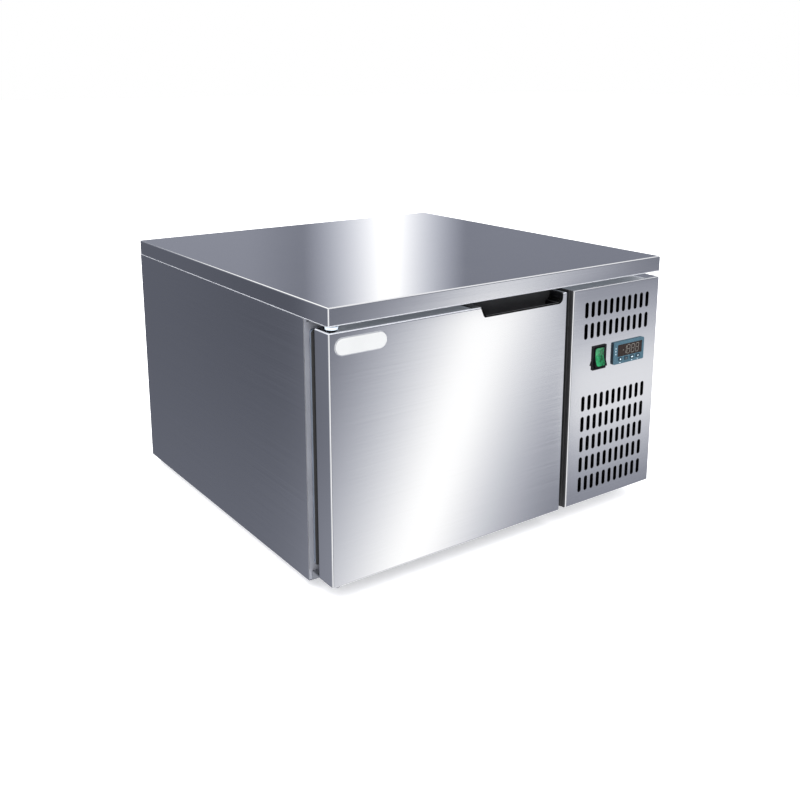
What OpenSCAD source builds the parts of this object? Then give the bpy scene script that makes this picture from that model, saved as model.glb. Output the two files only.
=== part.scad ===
// Countertop blast chiller: an insulated chamber behind a side-hung door on the left, and the
// refrigeration compartment behind a slotted control panel on the right, under one worktop.
// Millimetres. X runs to the right, Y to the back and Z up. The origin is under the middle of
// the whole machine, on the surface that it stands on.

/* [Cabinet] */
// Width over the side panels
body_w = 640; // [625:5:700]
// Depth from the worktop's front edge to the back panel
body_d = 650; // [640:5:720]
// Height from the floor to the top of the worktop
body_h = 425; // [420:5:480]
// Thickness of the outer steel sheets
sheet_t = 1; // [0.8:0.1:1.4]
// Outer radius of the bends in the steel sheets
bend_r = 1.6; // [1:0.1:2.4]
// Height of the worktop's folded edge
worktop_t = 26; // [18:1:30]
// Width of the lip folded in under the worktop
worktop_lip = 14; // [10:1:20]
// Thickness of the base plate
base_t = 1.5; // [1:0.1:2.5]
// Thickness of the insulated walls beside, above and behind the chamber
wall_t = 45; // [42:1:52]
// Thickness of the insulated floor under the chamber
floor_t = 47; // [44:1:56]
// Thickness of the chamber liner's sheet
liner_t = 0.8; // [0.6:0.1:1.2]
// Inner radius of the chamber liner's long corners
liner_r = 12; // [8:1:20]

/* [Front] */
// Depth of the door and the control panel in front of the cabinet
front_d = 64; // [60:1:72]
// Width of the control panel
panel_w = 198; // [190:1:210]
// Gap between the worktop and the door
top_gap = 8; // [8:1:16]
// Gap between the door and the control panel
centre_gap = 14; // [12:1:18]
// Height of the door's lower edge above the base of the cabinet
toe_gap = 16; // [14:1:20]
// Depth of the door's outer skin
door_skin_d = 35; // [32:1:38]
// Distance of the door's inner pan from the skin's edges
pan_inset = 10; // [9:1:14]
// Depth that the inner pan stands out behind the skin
pan_d = 20; // [17:1:21]
// Thickness of the inner pan
pan_t = 1.5; // [1:0.1:2.5]
// Distance of the gasket from the door's edges
gasket_inset = 8; // [7:1:12]
// Width of the gasket
gasket_w = 14; // [12:1:18]
// Depth of the gasket's magnetic strip
gasket_magnet_d = 6; // [4:0.5:7]
// Gap between the closed gasket and the front frame
gasket_gap = 0.3; // [0.2:0.1:0.5]

/* [Hinge] */
// Distance of the pivot from the door's side and from its front
hinge_in = 12; // [11:1:14]
// Diameter of the hinge pins
pin_d = 8; // [6:0.5:9]
// Radial clearance of a hinge pin in its bush
pin_play = 0.05; // [0.03:0.01:0.08]
// Diameter of the upper bush's head
bush_d = 17.5; // [15:0.5:20]
// Height of the upper bush's head
bush_h = 4.2; // [3:0.2:4.8]
// Wall of the bushes round the pins
bush_wall = 2; // [1.5:0.1:3]
// Thickness of the upper hinge plate
hinge_plate_t = 1.6; // [1.2:0.1:2]
// Thickness of the lower hinge plate
lower_plate_t = 2.5; // [2:0.1:3]
// Width of the hinge plates
hinge_plate_w = 26; // [22:1:32]
// Thickness of the lower bush's flange
bush_flange_t = 1; // [0.8:0.1:1.4]
// Depth that each pin reaches into its far side
pin_reach = 12; // [8:1:16]

/* [Handle] */
// Width of the grip's cut-out at the door's top edge
grip_w = 163; // [140:1:180]
// Distance of the grip from the door's free edge
grip_side = 10; // [8:1:20]
// Height of the grip's cut-out in the front of the door
grip_drop = 16; // [12:1:20]
// Slant of the cut-out's ends
grip_slant = 8; // [6:1:10]
// Depth of the grip behind the front of the door
grip_d = 29; // [26:1:31]
// Height of the whole finger pocket
grip_h = 38; // [32:1:46]
// Wall of the plastic grip
grip_wall = 2; // [1.5:0.1:2.6]
// Length of the grip's lip on the top of the door
grip_lip = 13; // [8:1:18]
// Thickness of the grip's lips
grip_lip_t = 0.8; // [0.6:0.1:1.4]

/* [Badge] */
// Width of the bare badge plate
badge_w = 83; // [60:1:100]
// Height of the bare badge plate
badge_h = 25; // [18:1:30]
// Thickness of the bare badge plate
badge_t = 1.2; // [0.8:0.1:2]
// Distance of the plate's middle from the door's hinge side
badge_x = 50; // [45:1:80]
// Distance of the plate's middle from the door's top
badge_z = 20; // [16:1:40]

/* [Control panel] */
// Width of one vent slot
slot_w = 7.5; // [5:0.1:8.5]
// Height of one vent slot
slot_h = 25.5; // [18:0.5:28]
// Distance between the middles of neighbouring slots
slot_pitch = 14; // [12:0.5:15]
// Slots in one row
slot_count = 11; // [5:1:11]
// Distance of the slots' middle line from the panel's left edge
slot_middle = 100; // [95:1:104]
// Depth of the first upper row below the panel's top
upper_row = 35; // [30:1:40]
// Distance between rows
row_pitch = 34.6; // [32:0.2:36]
// Rows above the controls
upper_rows = 2; // [1:1:2]
// Depth of the first lower row below the panel's top
lower_row = 189; // [180:1:195]
// Rows below the controls
lower_rows = 5; // [2:1:5]
// Depth of the controls' middle line below the panel's top
control_row = 116; // [110:1:122]
// Thickness of the black strip on the panel's inner side
strip_t = 1.5; // [1:0.1:2.5]
// Width of the rib along the black strip
strip_rib = 4; // [3:0.5:6]

/* [Switch] */
// Distance of the switch's middle from the panel's left edge
switch_x = 61.5; // [56:0.5:66]
// Width of the switch's bezel
switch_w = 31; // [28:1:36]
// Height of the switch's bezel
switch_h = 40; // [36:1:44]
// Thickness of the switch's bezel in front of the panel
switch_rim = 2; // [1.5:0.1:3]
// Width of the rocker
rocker_w = 24; // [20:0.5:26]
// Height of the rocker
rocker_h = 31; // [26:0.5:31]
// Distance of the rocker's front corners from its pivot
rocker_front = 9; // [7:0.5:10]
// Depth of the hollow between the rocker's two ends
rocker_dip = 2.4; // [1:0.1:3]
// Tilt of the rocker to each side
rocker_tilt = 8; // [5:1:9]
// Depth of the rocker's pivot behind the panel's front
rocker_pivot = 3; // [2:0.5:4]
// Gap between the rocker and the walls round it
rocker_gap = 0.4; // [0.3:0.1:0.8]

/* [Controller] */
// Distance of the controller's middle from the panel's left edge
controller_x = 128.8; // [125:0.1:135]
// Width of the controller's face
controller_w = 72; // [70:1:80]
// Height of the controller's face
controller_h = 37; // [34:1:40]
// Thickness of the controller's face in front of the panel
controller_rim = 4; // [3:0.5:6]
// Depth of the controller's housing behind the panel
controller_d = 52; // [40:1:56]
// Width of the display window
display_w = 58; // [50:1:62]
// Height of the display window
display_h = 20; // [16:0.5:22]
// Thickness of the display window
display_t = 1; // [0.6:0.1:2]
// Width of one key
key_w = 9; // [7:0.5:10]
// Height of one key
key_h = 5.4; // [4:0.2:6]
// Distance between the middles of neighbouring keys
key_pitch = 14; // [12:0.5:15]
// Travel of a key
key_travel = 0.8; // [0.5:0.1:1]
// Height of a key above the controller's face
key_proud = 1; // [1:0.1:1.4]
// Gap round a key
key_gap = 0.2; // [0.15:0.05:0.3]

/* [Feet] */
// Height of a foot
foot_h = 15; // [12:1:24]
// Diameter of a foot at its top
foot_d = 36; // [30:1:44]
// Distance of a foot's middle from the cabinet's edges
foot_inset = 62; // [56:1:80]
// Diameter of the bolts in the feet and under the compressor
bolt_d = 6; // [5:0.5:8]
// Diameter of those bolts' heads
bolt_head_d = 10; // [9:0.5:12]
// Height of those bolts' heads
bolt_head_h = 4; // [3:0.5:5]

/* [Chamber fittings] */
// Levels of tray runners
levels = 3; // [2:1:3]
// Distance between tray runners
level_pitch = 70; // [60:1:75]
// Height of the lowest runner above the chamber's floor
first_level = 45; // [35:1:60]
// Width of one runner's ledge
runner_w = 16; // [12:1:20]
// Thickness of the runner sheet
runner_t = 1.5; // [1:0.1:2]
// Gap between the runners and the evaporator cover
runner_gap = 23; // [18:1:40]
// Depth of the space behind the evaporator cover
evaporator_d = 125; // [122:1:140]
// Diameter of the evaporator fan
evap_fan_d = 200; // [170:2:210]
// Depth of the evaporator coil
evap_coil_d = 44; // [36:1:46]
// Distance between the evaporator's fins
evap_fin_pitch = 10; // [8:0.5:14]

/* [Refrigeration] */
// Distance of the condenser's fin pack from the compartment's sides
cond_side = 26; // [22:1:32]
// Height of the condenser's fin pack
cond_h = 176; // [165:1:190]
// Depth of the condenser's fin pack
cond_d = 44; // [36:1:52]
// Distance between the condenser's fins
cond_fin_pitch = 6; // [5:0.5:9]
// Distance of the condenser fan's tips from the fin pack's sides
cond_fan_in = 4; // [2:1:14]
// Diameter of the compressor's shell
comp_d = 150; // [130:1:156]
// Height of the compressor's shell
comp_h = 165; // [145:1:180]
// Outer diameter of the coils' tubes
tube_d = 9.5; // [8:0.1:10]
// Outer diameter of the thin lines
line_d = 6.4; // [5:0.1:8]
// Outer diameter of the suction line
suction_d = 9.5; // [8:0.1:10]
// Thickness of a coil fin
fin_t = 0.4; // [0.3:0.1:0.8]
// Play of a fan's hub on its shaft, by radius
shaft_play = 0.05; // [0.03:0.01:0.08]
// Diameter of the mains cable gland's nut
gland_d = 24; // [20:1:30]
// Length of the gland behind the back panel
gland_l = 18; // [14:1:22]

/* [Hidden] */
$fn = 48;

steel = "#c9ccd2";
dark_steel = "#7d8188";
plastic = "#1c1c1e";
foam_colour = "#e9dcae";
copper = "#b87345";
eps = 0.01;
face_gap = 0.3;         // gap between a seated piece and its seat where they don't lie flat

// Outer planes
rocker_swing = rocker_front * cos(rocker_tilt) + rocker_h / 2 * sin(rocker_tilt);
rocker_proud = ceil(10 * (rocker_swing - rocker_pivot)) / 10;     // up to a tenth
x0 = -body_w / 2;
x1 = body_w / 2;
y0 = (rocker_proud - body_d - gland_l) / 2;
y1 = y0 + body_d;
z_base = foot_h;
z_under = body_h - worktop_t;
y_face = y0 + front_d;

// Door and control panel
door_w = body_w - panel_w - centre_gap;
door_x0 = x0;
door_x1 = x0 + door_w;
panel_x0 = door_x1 + centre_gap;
front_z0 = z_base + toe_gap;
front_z1 = z_under - top_gap;
y_skin = y0 + door_skin_d;
y_pan = y_skin + pan_d;
y_seal = y_face - gasket_gap;
pivot_x = door_x0 + hinge_in;
pivot_y = y0 + hinge_in;

// Chamber, between the liner's inner faces
in_x0 = x0 + wall_t;
in_x1 = door_x1 - wall_t;
in_y0 = y_face + sheet_t;
in_y1 = y1 - wall_t;
in_z0 = z_base + floor_t;
in_z1 = z_under - wall_t;
in_mid = (in_x0 + in_x1) / 2;
cover_y = in_y1 - evaporator_d;

// Machine compartment, between its sheets
mc_x0 = door_x1 + sheet_t;
mc_x1 = x1 - sheet_t;
mc_mid = (mc_x0 + mc_x1) / 2;
mc_z0 = z_base + base_t;
frame_land = 20;        // width of the front frame round the compartment's opening
cond_w = mc_x1 - mc_x0 - 2 * cond_side;
cond_fan_d = cond_w - 2 * cond_fan_in;

// Feet and bolts
feet_at = [for (x = [x0 + foot_inset, x1 - foot_inset], y = [y_face + foot_inset, y1 - foot_inset]) [x, y]];
bolt_play = 0.3;

// ---------------------------------------------------------------- shared shapes

module block(lo, hi) translate(lo) cube(hi - lo);

// A rectangle from corner to corner with all four corners round
module round_rect(lo, hi, r) {
  translate([lo.x + r, lo.y]) square([hi.x - lo.x - 2 * r, hi.y - lo.y]);
  translate([lo.x, lo.y + r]) square([hi.x - lo.x, hi.y - lo.y - 2 * r]);
  for (x = [lo.x + r, hi.x - r], y = [lo.y + r, hi.y - r]) translate([x, y]) circle(r);
}

// A rectangle whose corners on its low Y side are round
module round_front(lo, hi, r) {
  translate([lo.x, lo.y + r]) square([hi.x - lo.x, hi.y - lo.y - r]);
  translate([lo.x + r, lo.y]) square([hi.x - lo.x - 2 * r, 2 * r]);
  for (x = [lo.x + r, hi.x - r]) translate([x, lo.y + r]) circle(r);
}

// Extrudes a drawing in X and Z along Y, from y_lo to y_hi
module along_y(y_lo, y_hi)
  translate([0, y_hi, 0]) rotate([90, 0, 0]) linear_extrude(y_hi - y_lo) children();

// Extrudes a drawing in Y and Z along X, from x_lo to x_hi
module along_x(x_lo, x_hi)
  translate([x_lo, 0, 0]) rotate([90, 0, 90]) linear_extrude(x_hi - x_lo) children();

// A block whose edges round its front face are folded to a radius
module folded_front(lo, hi, r) {
  intersection() {
    translate([0, 0, lo.z]) linear_extrude(hi.z - lo.z) round_front([lo.x, lo.y], [hi.x, hi.y], r);
    translate([lo.x, 0, 0]) rotate([90, 0, 90]) linear_extrude(hi.x - lo.x)
      rotate([0, 0, 90]) mirror([0, 1, 0]) round_front([lo.z, lo.y], [hi.z, hi.y], r);
  }
}

// A cylinder along Y with its near end at the given point
module y_rod(at, d, l) translate(at) rotate([-90, 0, 0]) cylinder(h = l, d = d);

// A cylinder along X with its near end at the given point
module x_rod(at, d, l) translate(at) rotate([0, 90, 0]) cylinder(h = l, d = d);

function unit(v) = v / norm(v);
function basis(u, v, w, at) =
  [[u.x, v.x, w.x, at.x], [u.y, v.y, w.y, at.y], [u.z, v.z, w.z, at.z], [0, 0, 0, 1]];
function side_of(z) = unit(cross(z, abs(z.z) < 0.9 ? [0, 0, 1] : [1, 0, 0]));
function turn(a, b, c) = acos(unit(b - a) * unit(c - b));
function trim(a, b, c, r) = r * tan(turn(a, b, c) / 2);

// A tube along straight runs with a bend of radius r at each inner point
module pipe(points, d, r) {
  last = len(points) - 1;
  for (i = [0:last - 1]) {
    u = unit(points[i + 1] - points[i]);
    from = i == 0 ? 0 : trim(points[i - 1], points[i], points[i + 1], r);
    to = i == last - 1 ? 0 : trim(points[i], points[i + 1], points[i + 2], r);
    s = side_of(u);
    multmatrix(basis(s, cross(u, s), u, points[i] + u * from))
      cylinder(h = norm(points[i + 1] - points[i]) - from - to, d = d);
  }
  for (i = [1:1:last - 1]) {
    u = unit(points[i] - points[i - 1]);
    w = unit(points[i + 1] - points[i]);
    m = unit(w - (w * u) * u);
    corner = points[i] - u * trim(points[i - 1], points[i], points[i + 1], r) + m * r;
    multmatrix(basis(-m, u, cross(-m, u), corner))
      rotate_extrude(angle = turn(points[i - 1], points[i], points[i + 1])) translate([r, 0]) circle(d = d);
  }
}

// ---------------------------------------------------------------- cabinet

module worktop() {
  t = [sheet_t, sheet_t, sheet_t];
  color(steel) difference() {
    intersection() {
      along_y(y0, y1) mirror([0, 1]) round_front([x0, -body_h], [x1, -z_under], bend_r);
      along_x(x0, x1) mirror([0, 1]) round_front([y0, -body_h], [y1, -z_under], bend_r);
    }
    block([x0, y0, z_under] + t, [x1, y1, body_h] - t);
    block([x0 + worktop_lip, y_face + worktop_lip, z_under - 1],
          [x1 - worktop_lip, y1 - worktop_lip, z_under + 2 * sheet_t]);
  }
}

module worktop_core() {
  color("#b9976a")
    block([x0 + sheet_t, y0 + sheet_t, z_under + sheet_t], [x1 - sheet_t, y1 - sheet_t, body_h - sheet_t]);
}

module left_side_panel() {
  color(dark_steel) block([x0, y_face, z_base], [x0 + sheet_t, y1, z_under]);
}

module right_side_panel() {
  color(steel) block([x1 - sheet_t, y_face, z_base], [x1, y1, z_under]);
}

// The vent slots of one field, drawn in X and Z
module slots(middle, top_row, rows) {
  for (row = [0:rows - 1], i = [0:slot_count - 1])
    translate([middle + (i - (slot_count - 1) / 2) * slot_pitch, top_row - row * row_pitch]) {
      square([slot_w, slot_h - slot_w], center = true);
      for (side = [-1, 1]) translate([0, side * (slot_h - slot_w) / 2]) circle(d = slot_w);
    }
}

gland_side = 45;        // distance of the mains gland from the compartment's right side
gland_rise = 34;        // and from its floor
gland_at = [mc_x1 - gland_side, mc_z0 + gland_rise];
back_row = 60;          // depth of the first row of back slots under the worktop
back_rows = 4;

module back_panel() {
  color(steel) along_y(y1 - sheet_t, y1) difference() {
    translate([x0 + sheet_t, z_base]) square([body_w - 2 * sheet_t, z_under - z_base]);
    slots(mc_mid, z_under - back_row, back_rows);
    translate(gland_at) circle(d = gland_thread_d + 2 * bolt_play);
  }
}

module base_plate() {
  color(steel) difference() {
    block([x0 + sheet_t, y_face, z_base], [x1 - sheet_t, y1 - sheet_t, mc_z0]);
    for (p = feet_at) translate([p.x, p.y, z_base - 1]) cylinder(h = base_t + 2, d = bolt_d + bolt_play);
    for (p = comp_feet) translate([p.x, p.y, z_base - 1]) cylinder(h = base_t + 2, d = bolt_d + bolt_play);
    translate([drain_at.x, drain_at.y, z_base - 1]) cylinder(h = base_t + 2, d = drain_d + 2 * face_gap);
  }
}

// One sheet with an opening for the chamber and one for the machine compartment
module front_frame() {
  color(steel) along_y(y_face, in_y0) difference() {
    translate([x0 + sheet_t, mc_z0]) square([body_w - 2 * sheet_t, z_under - mc_z0]);
    round_rect([in_x0, in_z0], [in_x1, in_z1], liner_r);
    translate([mc_x0 + frame_land, mc_z0 + frame_land])
      square([mc_x1 - mc_x0 - 2 * frame_land, z_under - mc_z0 - 2 * frame_land]);
  }
}

evap_coil_w = in_x1 - in_x0 - 50;
evap_coil_h = in_z1 - in_z0 - 60;
evap_coil_at = [in_x0 + 25, in_y1 - evap_coil_d - 12, in_z0 + 34];

// A coil's tubes lie in rows up its height, each with two tubes at these shares of its depth.
// The free ends are the near tube of the lowest row and the last tube of the top row.
tube_pitch = 28;
tube_cols = [0.28, 0.72];
function coil_rows(h) = floor((h - 10) / tube_pitch);
function row_z(h, i) = h / 2 + (i - (coil_rows(h) - 1) / 2) * tube_pitch;
function low_end(d, h) = [0, tube_cols[0] * d, row_z(h, 0)];
function top_end(d, h) = [0, tube_cols[coil_rows(h) % 2] * d, row_z(h, coil_rows(h) - 1)];

// Where the lines leave the evaporator and pass through the chamber's wall
evap_end_x = evap_coil_at.x + evap_coil_w;
suction_at = [evap_end_x, evap_coil_at.y, evap_coil_at.z] + low_end(evap_coil_d, evap_coil_h);
liquid_at = [evap_end_x, evap_coil_at.y, evap_coil_at.z] + top_end(evap_coil_d, evap_coil_h);
pass_play = 0.5;

// A hole along X through the chamber's wall for each line
module wall_passes() {
  x_rod([in_x1 - 5, suction_at.y, suction_at.z], suction_d + 2 * pass_play, wall_t + sheet_t + 10);
  x_rod([in_x1 - 5, liquid_at.y, liquid_at.z], line_d + 2 * pass_play, wall_t + sheet_t + 10);
}

module partition() {
  color(steel) difference() {
    block([door_x1, in_y0, mc_z0], [mc_x0, y1 - sheet_t, z_under]);
    wall_passes();
  }
}

drain_d = 20;
drain_wall = 2;
drain_at = [in_mid, cover_y + 90];
drain_drop = 8;         // length of the drain pipe under the base
hose_wall = 1.5;        // wall of the hose socket at the pipe's lower end
hose_l = 9;             // depth of the hose socket

module foam_insulation() {
  color(foam_colour) difference() {
    block([x0 + sheet_t, in_y0, mc_z0], [door_x1, y1 - sheet_t, z_under]);
    block([in_x0 - liner_t, in_y0 - 1, in_z0 - liner_t],
          [in_x1 + liner_t, in_y1 + liner_t, in_z1 + liner_t]);
    wall_passes();
    translate([drain_at.x, drain_at.y, z_base]) cylinder(h = floor_t, d = drain_d + 2 * face_gap);
  }
}

module chamber_liner() {
  t = liner_t;
  color(steel) difference() {
    along_y(in_y0, in_y1 + t) round_rect([in_x0 - t, in_z0 - t], [in_x1 + t, in_z1 + t], liner_r + t);
    along_y(in_y0 - 1, in_y1) round_rect([in_x0, in_z0], [in_x1, in_z1], liner_r);
    wall_passes();
    translate([drain_at.x, drain_at.y, z_base]) cylinder(h = floor_t + 5, d = drain_d + 2 * face_gap);
  }
}

// ---------------------------------------------------------------- chamber fittings

rack_front = 12;        // distance of the racks behind the chamber's front
rack_y0 = in_y0 + rack_front;
runner_l = cover_y - rack_y0 - runner_gap;
upright_w = 22;
upright_d = 4;
rack_z1 = in_z0 + first_level + (levels - 1) * level_pitch + 30;

// Two slotted uprights against the wall and an angle runner at each level.
// Drawn for the left wall: side is 1 there, and -1 on the right wall.
module tray_rack(wall_x, side) {
  translate([wall_x, 0, 0]) mirror([side < 0 ? 1 : 0, 0, 0]) {
    for (y = [rack_y0 + 30, rack_y0 + runner_l - 30 - upright_w]) difference() {
      block([0, y, in_z0 + liner_r], [upright_d, y + upright_w, rack_z1]);
      block([runner_t, y + runner_t, in_z0 + liner_r - 1],
            [upright_d - runner_t, y + upright_w - runner_t, rack_z1 + 1]);
      for (z = [in_z0 + liner_r + 12:20:rack_z1 - 14])
        block([upright_d - runner_t - 1, y + upright_w / 2 - 5, z],
              [upright_d + 1, y + upright_w / 2 + 5, z + 6]);
    }
    for (i = [0:levels - 1]) {
      z = in_z0 + first_level + i * level_pitch;
      block([upright_d, rack_y0, z], [upright_d + runner_t, rack_y0 + runner_l, z + 18]);
      block([upright_d, rack_y0, z], [upright_d + runner_w, rack_y0 + runner_l, z + runner_t]);
      // A stop folded up at the back end
      block([upright_d, rack_y0 + runner_l - runner_t, z],
            [upright_d + runner_w, rack_y0 + runner_l, z + 18]);
    }
  }
}

module tray_rack_left() { color(steel) tray_rack(in_x0, 1); }
module tray_rack_right() { color(steel) tray_rack(in_x1, -1); }

evap_fan_z = (in_z0 + in_z1) / 2;
fan_bore_play = 4;
cover_lip = 18;
cover_foot = 8;

module evaporator_cover() {
  r = evap_fan_d / 2 + fan_bore_play;
  color(steel) difference() {
    block([in_x0, cover_y, in_z0 + liner_r], [in_x1, cover_y + cover_lip, in_z1 - liner_r]);
    block([in_x0 + sheet_t, cover_y + sheet_t, in_z0], [in_x1 - sheet_t, cover_y + cover_lip + 1, in_z1]);
    y_rod([in_mid, cover_y - 1, evap_fan_z], 2 * r, sheet_t + 2);
    // A row of return-air slots under the fan
    for (i = [-6:6]) block([in_mid + i * 22 - 7, cover_y - 1, in_z0 + liner_r + cover_foot],
                           [in_mid + i * 22 + 7, cover_y + 2, in_z0 + liner_r + cover_foot + 5]);
  }
}

guard_wire = 3;
guard_spoke_t = 2;
guard_hub_d = 30;

// Concentric wire rings behind four flat spokes that meet on a round plate
module fan_guard() {
  r = evap_fan_d / 2 + fan_bore_play + 6;
  color(steel) translate([in_mid, cover_y - guard_wire / 2, evap_fan_z]) rotate([90, 0, 0]) {
    for (k = [1:5]) rotate_extrude() translate([r * k / 5, 0]) circle(d = guard_wire, $fn = 16);
    translate([0, 0, guard_wire / 6]) {
      cylinder(h = guard_spoke_t, d = guard_hub_d);
      for (a = [45:90:315]) rotate([0, 0, a])
        block([guard_hub_d / 2 - 2, -guard_wire, 0], [r + guard_wire, guard_wire, guard_spoke_t]);
    }
  }
}

motor_d = 84;
motor_fit = 0.1;        // gap between a motor and its ring
motor_l = 22;
shaft_d = 8;
hub_d = 44;
rotor_l = 26;
rotor_back = 32;        // distance of a rotor's back end from the front of the plate that it turns in
motor_gap = 3;          // gap between a rotor and its motor
arm_w = 10;
arm_t = 4;

// A fan motor's ring, four arms and the posts that stand on the fan's plate
module motor_bracket(bore_r, post_l) {
  reach = bore_r + 8;
  ring_y = rotor_back + motor_gap + 6;
  arm_y = ring_y + 2;
  difference() {
    union() {
      y_rod([0, ring_y, 0], motor_d + 8, arm_t + 4);
      for (a = [0:90:270]) rotate([0, a + 45, 0]) {
        block([motor_d / 2, arm_y, -arm_w / 2], [reach + arm_w / 2, arm_y + arm_t, arm_w / 2]);
        block([reach - arm_w / 2, post_l, -arm_w / 2], [reach + arm_w / 2, arm_y + arm_t, arm_w / 2]);
      }
    }
    y_rod([0, ring_y - 1, 0], motor_d + 2 * motor_fit, arm_t + 6);
  }
}

// A flat round motor with its shaft, drawn along Y behind the rotor
module motor() {
  front = rotor_back + motor_gap;
  difference() {
    union() {
      y_rod([0, front, 0], motor_d, motor_l);
      y_rod([0, front - 2, 0], 30, 3);
      y_rod([0, front + motor_l - 1, 0], 50, 5);
      y_rod([0, front - motor_gap - rotor_l + 6, 0], shaft_d, rotor_l);
    }
    // Cooling grooves round the rim
    for (a = [0:15:345]) rotate([0, a, 0]) block([motor_d / 2 - 2, front + motor_l - 5, -1.5],
                                                 [motor_d / 2 + 1, front + motor_l + 1, 1.5]);
  }
}

blade_t = 1.8;
blade_pitch = 28;

// A hub with swept blades, drawn along Y
module rotor(d, blades) {
  l = rotor_l;
  front = rotor_back - l;
  color("#4a4d52") difference() {
    union() {
      y_rod([0, front, 0], hub_d, l);
      for (i = [0:blades - 1]) rotate([0, i * 360 / blades, 0]) intersection() {
        difference() {
          y_rod([0, front, 0], d, l);
          y_rod([0, front - 1, 0], hub_d - 4, l + 2);
        }
        translate([0, front + l / 2, 0]) rotate([blade_pitch, 0, 0]) rotate([90, 0, 0])
          translate([0, 0, -blade_t / 2]) linear_extrude(blade_t) blade_outline(d / 2);
      }
    }
    y_rod([0, front + 4, 0], shaft_d + 2 * shaft_play, l);
    difference() {
      y_rod([0, front + 3, 0], hub_d - 6, l);
      y_rod([0, front + 2, 0], shaft_d + 8, l);
    }
  }
}

// A blade seen along the shaft: narrow at the hub, wide and raked at the tip
module blade_outline(r) {
  root = hub_d / 2 - 3;
  polygon(concat(
    [for (k = [0:6]) let (s = k / 6) [root + s * (r + 6 - root), -9 - 16 * s + 10 * s * s]],
    [for (k = [6:-1:0]) let (s = k / 6) [root + s * (r + 6 - root), 9 + 30 * s - 8 * s * s]]
  ));
}

module at_evap_fan() translate([in_mid, cover_y, evap_fan_z]) children();

module evaporator_fan_bracket() {
  color(dark_steel) at_evap_fan() motor_bracket(evap_fan_d / 2 + fan_bore_play, sheet_t);
}

module evaporator_fan_motor() { color("#2b2c2f") at_evap_fan() motor(); }

module evaporator_fan() { at_evap_fan() rotor(evap_fan_d, 5); }

// A fin pack with its end plates and the tubes' return bends, from its low corner.
// Fins stand across X. Tubes run along X in two rows.
module finned_coil(size, pitch, plate_reach) {
  rows = coil_rows(size.z);
  row_at = [for (i = [0:rows - 1]) row_z(size.z, i)];
  cols = tube_cols * size.y;
  fins = floor((size.x - 12) / pitch);
  first = (size.x - (fins - 1) * pitch) / 2;
  for (i = [0:fins - 1]) translate([first + i * pitch - fin_t / 2, 0, 0]) cube([fin_t, size.y, size.z]);
  for (x = [0, size.x - 1]) translate([x, 0, -plate_reach]) cube([1, size.y, size.z + 2 * plate_reach]);
  for (z = row_at, y = cols) x_rod([0, y, z], tube_d, size.x);
  for (z = row_at) multmatrix(basis([0, 1, 0], [1, 0, 0], [0, 0, -1], [size.x, size.y / 2, z]))
    return_bend((cols[1] - cols[0]) / 2);
  for (i = [0:rows - 2])
    multmatrix(basis([0, 0, 1], [-1, 0, 0], [0, -1, 0],
                     [0, cols[1 - i % 2], (row_at[i] + row_at[i + 1]) / 2]))
      return_bend(tube_pitch / 2);
}

// Half a ring of tube that stands out along its own Y from the face that it leaves
module return_bend(r) rotate_extrude(angle = 180) translate([r, 0]) circle(d = tube_d, $fn = 24);

module evaporator_coil() {
  color("#c0c4c8") {
    translate([evap_end_x, evap_coil_at.y, evap_coil_at.z]) mirror([1, 0, 0])
      finned_coil([evap_coil_w, evap_coil_d, evap_coil_h], evap_fin_pitch, 0);
    // Hangers from the end plates to the chamber's back wall
    for (x = [evap_coil_at.x, evap_coil_at.x + evap_coil_w - 1],
         z = [evap_coil_at.z + 20, evap_coil_at.z + evap_coil_h - 40])
      block([x, evap_coil_at.y + evap_coil_d, z], [x + 1, in_y1, z + 20]);
  }
}

tray_wall = 1.5;
tray_h = 16;

// A shallow tray under the coil whose spout drops into the drain pipe
module drip_tray() {
  lo = [in_x0 + 16, evap_coil_at.y - 12, evap_coil_at.z - 20];
  hi = [in_x1 - 16, in_y1 - 3, lo.z + tray_h];
  color(steel) difference() {
    union() {
      block(lo, hi);
      translate([drain_at.x, drain_at.y, in_z0 + 2]) cylinder(h = lo.z - in_z0, d = drain_d - 5);
      // Ears at both ends that are screwed to the chamber's side walls
      for (y = [lo.y + 20, hi.y - 35])
        block([in_x0, y, lo.z + tray_wall], [in_x1, y + 15, lo.z + 2 * tray_wall]);
    }
    block(lo + [tray_wall, tray_wall, tray_wall], [hi.x - tray_wall, hi.y - tray_wall, hi.z + 1]);
    translate([drain_at.x, drain_at.y, in_z0]) cylinder(h = 60, d = drain_d - 8);
  }
}

// A plastic pipe through the insulated floor, with a flange inside the chamber and a hose socket below
module drain_pipe() {
  color("#e8e8e4") difference() {
    union() {
      translate([drain_at.x, drain_at.y, z_base - drain_drop])
        cylinder(h = floor_t + drain_drop, d = drain_d);
      translate([drain_at.x, drain_at.y, in_z0]) cylinder(h = 1.5, d = drain_d + 12);
    }
    translate([drain_at.x, drain_at.y, z_base - drain_drop - 1]) {
      cylinder(h = floor_t + 2 * drain_drop, d = drain_d - 2 * drain_wall);
      cylinder(h = hose_l + 1, d = drain_d - 2 * hose_wall);
    }
  }
}

// The air probe's bulb in a clip on the evaporator cover
module air_probe() {
  at = [in_x1 - 24, cover_y, in_z1 - 60];
  color("#d8dade") {
    y_rod(at - [0, 14, 0], 5, 14);
    y_rod(at - [0, 3, 0], 14, 3);
    translate(at - [0, 14, 0]) sphere(d = 5, $fn = 24);
  }
}

// ---------------------------------------------------------------- feet and bolts

foot_bore = 6;          // depth of the bolt head's seat above a foot's lower face

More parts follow.
